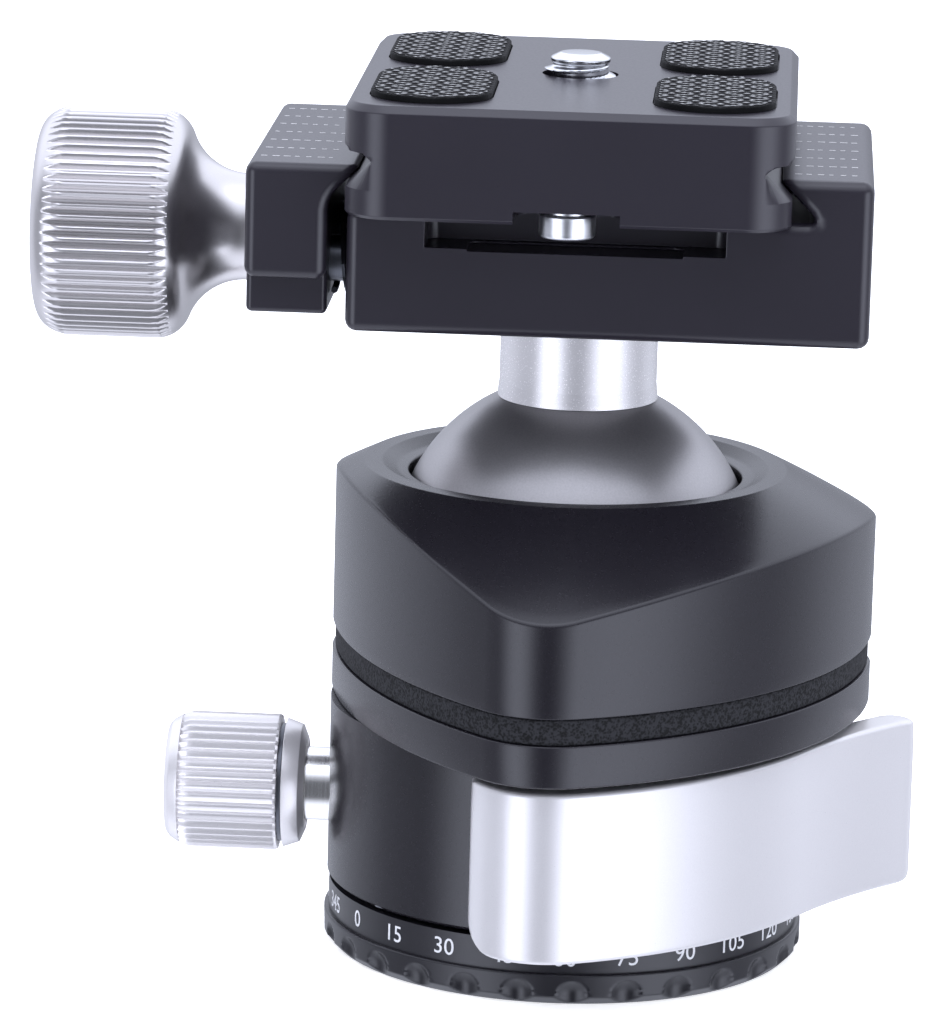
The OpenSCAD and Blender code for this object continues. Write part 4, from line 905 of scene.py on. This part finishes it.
def padSurface(v):
    # height = rise - relief * (1 - strand): strand is the higher of two crossing families of ridges,
    # ridge = 1 - (distance from the nearest diagonal / half width)^2, each dipping under the other in turn
    rows, columns = int(v["length"] / v["cell"]), int(2 * v["halfWidth"] / v["cell"])
    w, straight = v["halfWidth"], v["length"] / 2 - v["halfWidth"]
    x, y = np.meshgrid(np.linspace(-1, 1, columns), np.linspace(-v["length"] / 2, v["length"] / 2, rows))
    t = np.clip((np.abs(y) - straight) / w, 0, 1)                    # 0 along the straight sides, 1 at the pad's end
    xx = w * x * np.sqrt(1 - t ** 2 / 2)                             # square to disc: x * sqrt(1 - t^2 / 2)
    yy = np.sign(y) * (np.minimum(np.abs(y), straight) + w * t * np.sqrt(1 - x ** 2 / 2))
    away = w - np.hypot(xx, np.maximum(np.abs(yy) - straight, 0))    # distance in from the pad's edge
    p, q = (xx * v["slope"] + yy) / v["pitch"], (xx * v["slope"] - yy) / v["pitch"]

    def ridge(across, other):
        off = np.abs(np.mod(across, 1) - 0.5) * 2
        dip = 0.5 + 0.5 * np.cos(math.pi * (other * 2 + np.floor(across)))
        return np.clip(1 - (off / v["ridge"]) ** 2, 0, 1) * (0.55 + 0.45 * dip)
    strand = np.maximum(ridge(p, q), ridge(q + 0.5, p + 0.5))
    inside = np.clip(away / v["rim"], 0, 1)
    strand = np.where(inside < 1, np.minimum(strand, v["rimStrand"]), strand)
    rounding = 0.15 * np.clip(1 - inside * 3, 0, 1) ** 2
    return xx, yy, v["rise"] - v["relief"] * (1 - strand) * np.clip(inside * 2, 0.4, 1) - rounding, strand


def makePads(v):
    # the mesh surface with a skirt down to the pocket's floor, at each pad's centre
    xx, yy, z, strand = padSurface(v)
    rows, columns = xx.shape
    base = plate["foot"] + plate["thick"]
    j, i = np.arange(columns), np.arange(rows) * columns
    boundary = np.concatenate([j, i[1:] + columns - 1, i[-1] + j[-2::-1], i[-2:0:-1]])
    n, m = xx.size, len(boundary)
    k = np.arange(m)
    skirt = np.stack([boundary, boundary[(k + 1) % m], n + (k + 1) % m, n + k], 1)
    faces = np.concatenate([gridFaces(rows, columns), skirt]).tolist() + [(n + k).tolist()]
    shade = np.concatenate([strand.ravel(), np.zeros(m)]).astype(np.float32)
    for index, (cx, cy) in enumerate(padCentres(v)):
        top = np.stack([xx + cx, yy + cy, z + base], -1).reshape(-1, 3)
        foot = top[boundary] * (1, 1, 0) + (0, 0, base - v["pocket"] + 0.02)
        mesh = bpy.data.meshes.new("gripPad")
        mesh.from_pydata((np.concatenate([top, foot]) * mm).tolist(), [], faces)
        mesh.attributes.new("strand", "FLOAT", "POINT").data.foreach_set("value", shade)
        work = bmesh.new()
        work.from_mesh(mesh)
        bmesh.ops.recalc_face_normals(work, faces=work.faces)
        work.to_mesh(mesh)
        work.free()
        mesh.shade_smooth()
        mesh.set_sharp_from_angle(angle=math.radians(60))
        nodes = ["grip_pads"] if index == 0 else ()
        finishPiece(addObject("gripPad%d" % (index + 1), mesh), "plate", finishes["pad"], nodes)


makePads(gripPads)

cameraScrew = {
    "radius": 3.15, "core": 2.45, "pitch": 1.27, "top": 80.2, "face": 78.3, "threadDown": 1.6, "fadeAt": 0.85,
    "fade": 0.35, "tip": 2.62, "tipHeight": 0.95, "tipEdge": 0.42, "tipDome": 0.85,
    "foot": 69.6, "headRadius": 6.0, "headHeight": 2.6, "headEdge": 0.3, "socket": 0.9, "socketDepth": 1.4,
}


def makeCameraScrew(v):
    # a flat head below, a core, and a threaded end: r(a, z) = core + (R - core) * crest of a helix, domed at the tip
    columns = 96
    a = np.arange(columns) * 2 * math.pi / columns
    z0, tip, low = v["foot"], v["tip"], v["top"] - v["tipHeight"]
    z = np.linspace(v["face"] - v["threadDown"], low, 60)[:, None]
    phase = np.mod((z - v["pitch"] * a / (2 * math.pi)) / v["pitch"] + 0.02, 1)
    crest = np.clip(1.25 - np.abs(phase * 2 - 1) * 2.2, 0, 1)
    r = v["core"] + (v["radius"] - v["core"]) * crest * np.clip((v["face"] + v["fadeAt"] - z) / v["fade"], 0, 1)
    thread = np.stack([r * np.cos(a), r * np.sin(a), np.repeat(z, columns, 1)], -1)
    head, shelf = v["headRadius"], z0 + v["headHeight"]
    below = [(0, z0 + v["socketDepth"]), (v["socket"], z0 + v["socketDepth"]), (v["socket"], z0),
             (head - v["headEdge"], z0), (head, z0 + v["headEdge"]), (head, shelf),
             (v["core"], shelf), (v["core"], v["face"] - v["threadDown"] - 0.02)]
    above = filletPath([(v["core"], low), (tip - 0.1, low + 0.08), (tip, low + 0.2), (tip, v["top"] - v["tipEdge"]),
                        (tip - v["tipDome"], v["top"]), (0, v["top"])], [0.05, 0.1, 0.2, 0.5], 6)[1:]
    points = np.concatenate([turned(below, columns), thread, turned(above, columns)]) + (plate["middle"], 0, 0)
    mesh = makeMesh("cameraScrew", points, gridFaces(len(points), columns, wrapColumns=True), sharp=40)
    piece = addObject("cameraScrewBody", mesh)
    finishPiece(piece, "camera_screw", finishes["bright"], ["camera_screw"])


makeCameraScrew(cameraScrew)

stopScrews = {
    "at": 20.3, "foot": 67.3, "headRadius": 2.4, "headHeight": 2.0, "neckRadius": 1.9, "top": 72.6,
    "dishRadius": 0.85, "dishDepth": 0.9,
}


def makeStopScrews(v):
    # turned button heads on plain shanks, a hex socket's mouth in the underside left as a shallow turned dish
    foot, head, neck, dish = v["foot"], v["headRadius"], v["neckRadius"], v["foot"] + v["dishDepth"]
    profile = filletPath([(0, dish), (v["dishRadius"] - 0.1, dish), (v["dishRadius"], foot), (head, foot),
                          (head, foot + v["headHeight"]), (neck, foot + v["headHeight"] + 0.02),
                          (neck, v["top"]), (0, v["top"])], [0.05, 0.08, 0.35, 0.12, 0.1, 0.1], 4)
    for name, side in (("stopScrewFront", -1), ("stopScrewBack", 1)):
        mesh = lathe(name, profile, 64)
        mesh.transform(Matrix.Translation((plate["middle"] * mm, side * v["at"] * mm, 0)))
        nodes = ["stop_screws"] if side < 0 else ()
        finishPiece(addObject(name, mesh), "plate", finishes["turned"], nodes)


makeStopScrews(stopScrews)
print("plate made")


# ---- nodes that keep their solids ----

kept = {
    "base": ("scale_ring",), "housing": ("lower_housing",), "ball": ("ball",), "stem": ("stem",), "knob": ("knob_cap",),
    "steel": ("tripod_insert", "pan_spigot", "base_screws", "pan_retainer", "retainer_screws", "housing_screws",
              "wave_spring", "lift_ring", "cam_ring", "lever_screws", "clamp_bolt", "anti_twist_pins", "screw_clip"),
    "steelX": ("guide_rods", "jaw_springs", "clamp_screw"),
    "bronze": ("pan_bushing", "seat_ring", "lower_cup", "pan_lock_pad"),
    "shaft": ("pan_lock_screw", "knob_washer"),
}
for finish, names in kept.items():
    for node in names:
        slots = cadNodes[node].material_slots
        if len(slots) == 0:
            cadNodes[node].data.materials.append(finishes[finish])
        for place in slots:
            place.material = finishes[finish]
print("kept nodes:", sum(map(len, kept.values())))


# ---- studio ----

studio = {
    "tint": (0.82, 0.86, 1.0), "level": 1.15, "peak": 3.0, "floorColour": "#f4f4f6", "floorLift": 0.68,
    "lampPower": 0.9, "lampSize": 420, "lampPlace": (60, 40, 520), "lampTarget": (0, 0, 40),
    # direction in degrees from the camera's side, positive to the right, and brightness: two softboxes with dark gaps
    "ring": ((-180, 0.6), (-165, 0.72), (-150, 0.85), (-135, 0.95), (-120, 0.95), (-108, 0.9), (-95, 0.58),
             (-80, 0.5), (-66, 0.35), (-58, 1.2), (-50, 2.5), (-39, 3.0), (-28, 2.4), (-18, 0.85), (-10, 0.15),
             (5, 0.08), (14, 0.4), (24, 1.4), (36, 2.6), (52, 2.8), (64, 2.3), (76, 1.3), (88, 0.62), (100, 0.48),
             (112, 0.72), (124, 0.92), (140, 0.85), (155, 0.62), (180, 0.55)),
    # height as the sine of the elevation, and brightness: in front, and behind
    "front": ((-1.0, 1.4), (-0.6, 1.2), (-0.2, 0.3), (0.3, 0.15), (0.5, 0.5), (0.72, 1.5), (0.88, 1.7),
              (0.95, 2.8), (1.0, 2.8)),
    "back": ((-1.0, 1.4), (-0.6, 1.2), (-0.2, 0.8), (0.05, 1.3), (0.5, 1.5), (0.85, 1.45), (1.0, 1.6)),
}


def addMixed(tree, factor, first, second):
    # first where the factor is 0, second where it is 1
    return addNode(tree, "ShaderNodeMixShader", {}, {0: factor, 1: first, 2: second})


def levelRamp(tree, value, stops, top):
    # stops of (place, level), from the least place to the greatest: the ramp holds level / top
    low, high = stops[0][0], stops[-1][0]
    place = addRange(tree, value, 0, 1, low, high)
    ramp = addNode(tree, "ShaderNodeValToRGB", {}, {"Fac": (place, "Result")})
    band = ramp.color_ramp
    band.interpolation = "EASE"
    for _ in stops[2:]:
        band.elements.new(0.5)
    for element, (at, level) in zip(band.elements, stops):
        element.position = (at - low) / (high - low)
        element.color = (level / top, level / top, level / top, 1)
    return (ramp, "Color")


def makeWorld(v):
    # white for what the camera sees; for light and reflections a studio drawn by direction: near the horizon the ring
    # of softboxes, above and far below it the front and back levels
    world = bpy.data.worlds.new("studio")
    bpy.context.scene.world = world
    world.use_nodes = True
    tree = world.node_tree
    tree.nodes.clear()
    path = addNode(tree, "ShaderNodeLightPath")
    place = addNode(tree, "ShaderNodeTexCoord")
    axes = addNode(tree, "ShaderNodeSeparateXYZ", {}, {"Vector": (place, "Generated")})
    towards = addMath(tree, "MULTIPLY", (axes, "Y"), -1.0)
    turn = addMath(tree, "ARCTAN2", (axes, "X"), (towards, "Value"))
    degrees = addMath(tree, "DEGREES", (turn, "Value"))
    ring = levelRamp(tree, (degrees, "Value"), v["ring"], v["peak"])
    front, back = (levelRamp(tree, (axes, "Z"), v[side], v["peak"]) for side in ("front", "back"))
    behind = addRange(tree, (axes, "Y"), 0, 1, -0.35, 0.35, "SMOOTHSTEP")
    over = addRange(tree, (axes, "Z"), 0, 1, 0.05, 0.4, "SMOOTHSTEP")
    under = addRange(tree, (axes, "Z"), 0, 1, -0.5, -0.85, "SMOOTHSTEP")
    off = addMath(tree, "MAXIMUM", (over, "Result"), (under, "Result"))
    blend = {"data_type": "RGBA"}
    dome = addNode(tree, "ShaderNodeMix", blend, {0: (behind, "Result"), 6: front, 7: back})
    level = addNode(tree, "ShaderNodeMix", blend, {0: (off, "Value"), 6: ring, 7: (dome, 2)})
    tinted = {**blend, "blend_type": "MULTIPLY", 0: 1.0, 7: (*v["tint"], 1)}
    tint = addNode(tree, "ShaderNodeMix", tinted, {6: (level, 2)})
    room = addNode(tree, "ShaderNodeBackground", {"Strength": v["peak"] * v["level"]}, {"Color": (tint, 2)})
    seen = addNode(tree, "ShaderNodeBackground", {"Color": (1, 1, 1, 1), "Strength": 1.0})
    direct = addMath(tree, "MAXIMUM", (path, "Is Camera Ray"), (path, "Is Transmission Ray"))
    mix = addMixed(tree, (direct, "Value"), (room, "Background"), (seen, "Background"))
    addNode(tree, "ShaderNodeOutputWorld", {}, {"Surface": (mix, "Shader")})


def makeFloor(v):
    # a wide disc under the base: matt white that keeps the shadow, lifted for the camera so that it joins the backdrop,
    # and left out of reflections so that metal shows the studio all round
    mesh = lathe("floor", [(0, -0.01), (900, -0.01), (900, -3), (0, -3)], 96)
    floor = addObject("studioFloor", mesh)
    material, tree, _ = startMaterial("mattWhiteFloor")
    path = addNode(tree, "ShaderNodeLightPath")
    matt = addNode(tree, "ShaderNodeBsdfDiffuse", {"Color": hexColour(v["floorColour"])})
    lift = addNode(tree, "ShaderNodeEmission", {"Color": (1, 1, 1, 1), "Strength": v["floorLift"]})
    none = addNode(tree, "ShaderNodeEmission", {"Strength": 0.0})
    chosen = addMixed(tree, (path, "Is Camera Ray"), (none, "Emission"), (lift, "Emission"))
    total = addNode(tree, "ShaderNodeAddShader", {}, {0: (matt, "BSDF"), 1: (chosen, "Shader")})
    through = addNode(tree, "ShaderNodeBsdfTransparent")
    surface = addMixed(tree, (path, "Is Glossy Ray"), (total, "Shader"), (through, "BSDF"))
    addNode(tree, "ShaderNodeOutputMaterial", {}, {"Surface": (surface, "Shader")})
    mesh.materials.append(material)


def makeLamp(v):
    # one softbox overhead, aimed at the middle of the part and unseen in reflections
    lamp = bpy.data.lights.new("overheadSoftbox", "AREA")
    lamp.shape, lamp.size, lamp.energy = "SQUARE", v["lampSize"] * mm, v["lampPower"]
    holder = addObject("overheadSoftbox", lamp)
    holder.visible_glossy = False
    holder.location = Vector(v["lampPlace"]) * mm
    holder.rotation_euler = (Vector(v["lampTarget"]) * mm - holder.location).to_track_quat("-Z", "Y").to_euler()


makeWorld(studio)
makeFloor(studio)
makeLamp(studio)

camera = {
    "place": (17.656, -508.040, 151.336), "turn": 2.98973, "tilt": -12.47575, "roll": -1.53892,
    "sensor": 24, "focal": 137.53125,
}


def makeCamera(v):
    # right, forward and up are the columns of Rz(turn) * Rx(tilt) * Ry(roll)
    lens = bpy.data.cameras.new("camera")
    lens.sensor_fit, lens.sensor_height, lens.lens = "VERTICAL", v["sensor"], v["focal"]
    lens.clip_start, lens.clip_end = 0.01, 20
    holder = addObject("camera", lens)
    turn, tilt, roll = (Matrix.Rotation(math.radians(v[name]), 3, axis)
                        for name, axis in (("turn", "Z"), ("tilt", "X"), ("roll", "Y")))
    right, forward, up = (turn @ tilt @ roll).col
    m = Matrix((right, up, -forward)).transposed().to_4x4()
    m.translation = Vector(v["place"]) * mm
    holder.matrix_world = m
    bpy.context.scene.camera = holder


makeCamera(camera)
bpy.context.scene.view_settings.view_transform = "Standard"
print("studio made")
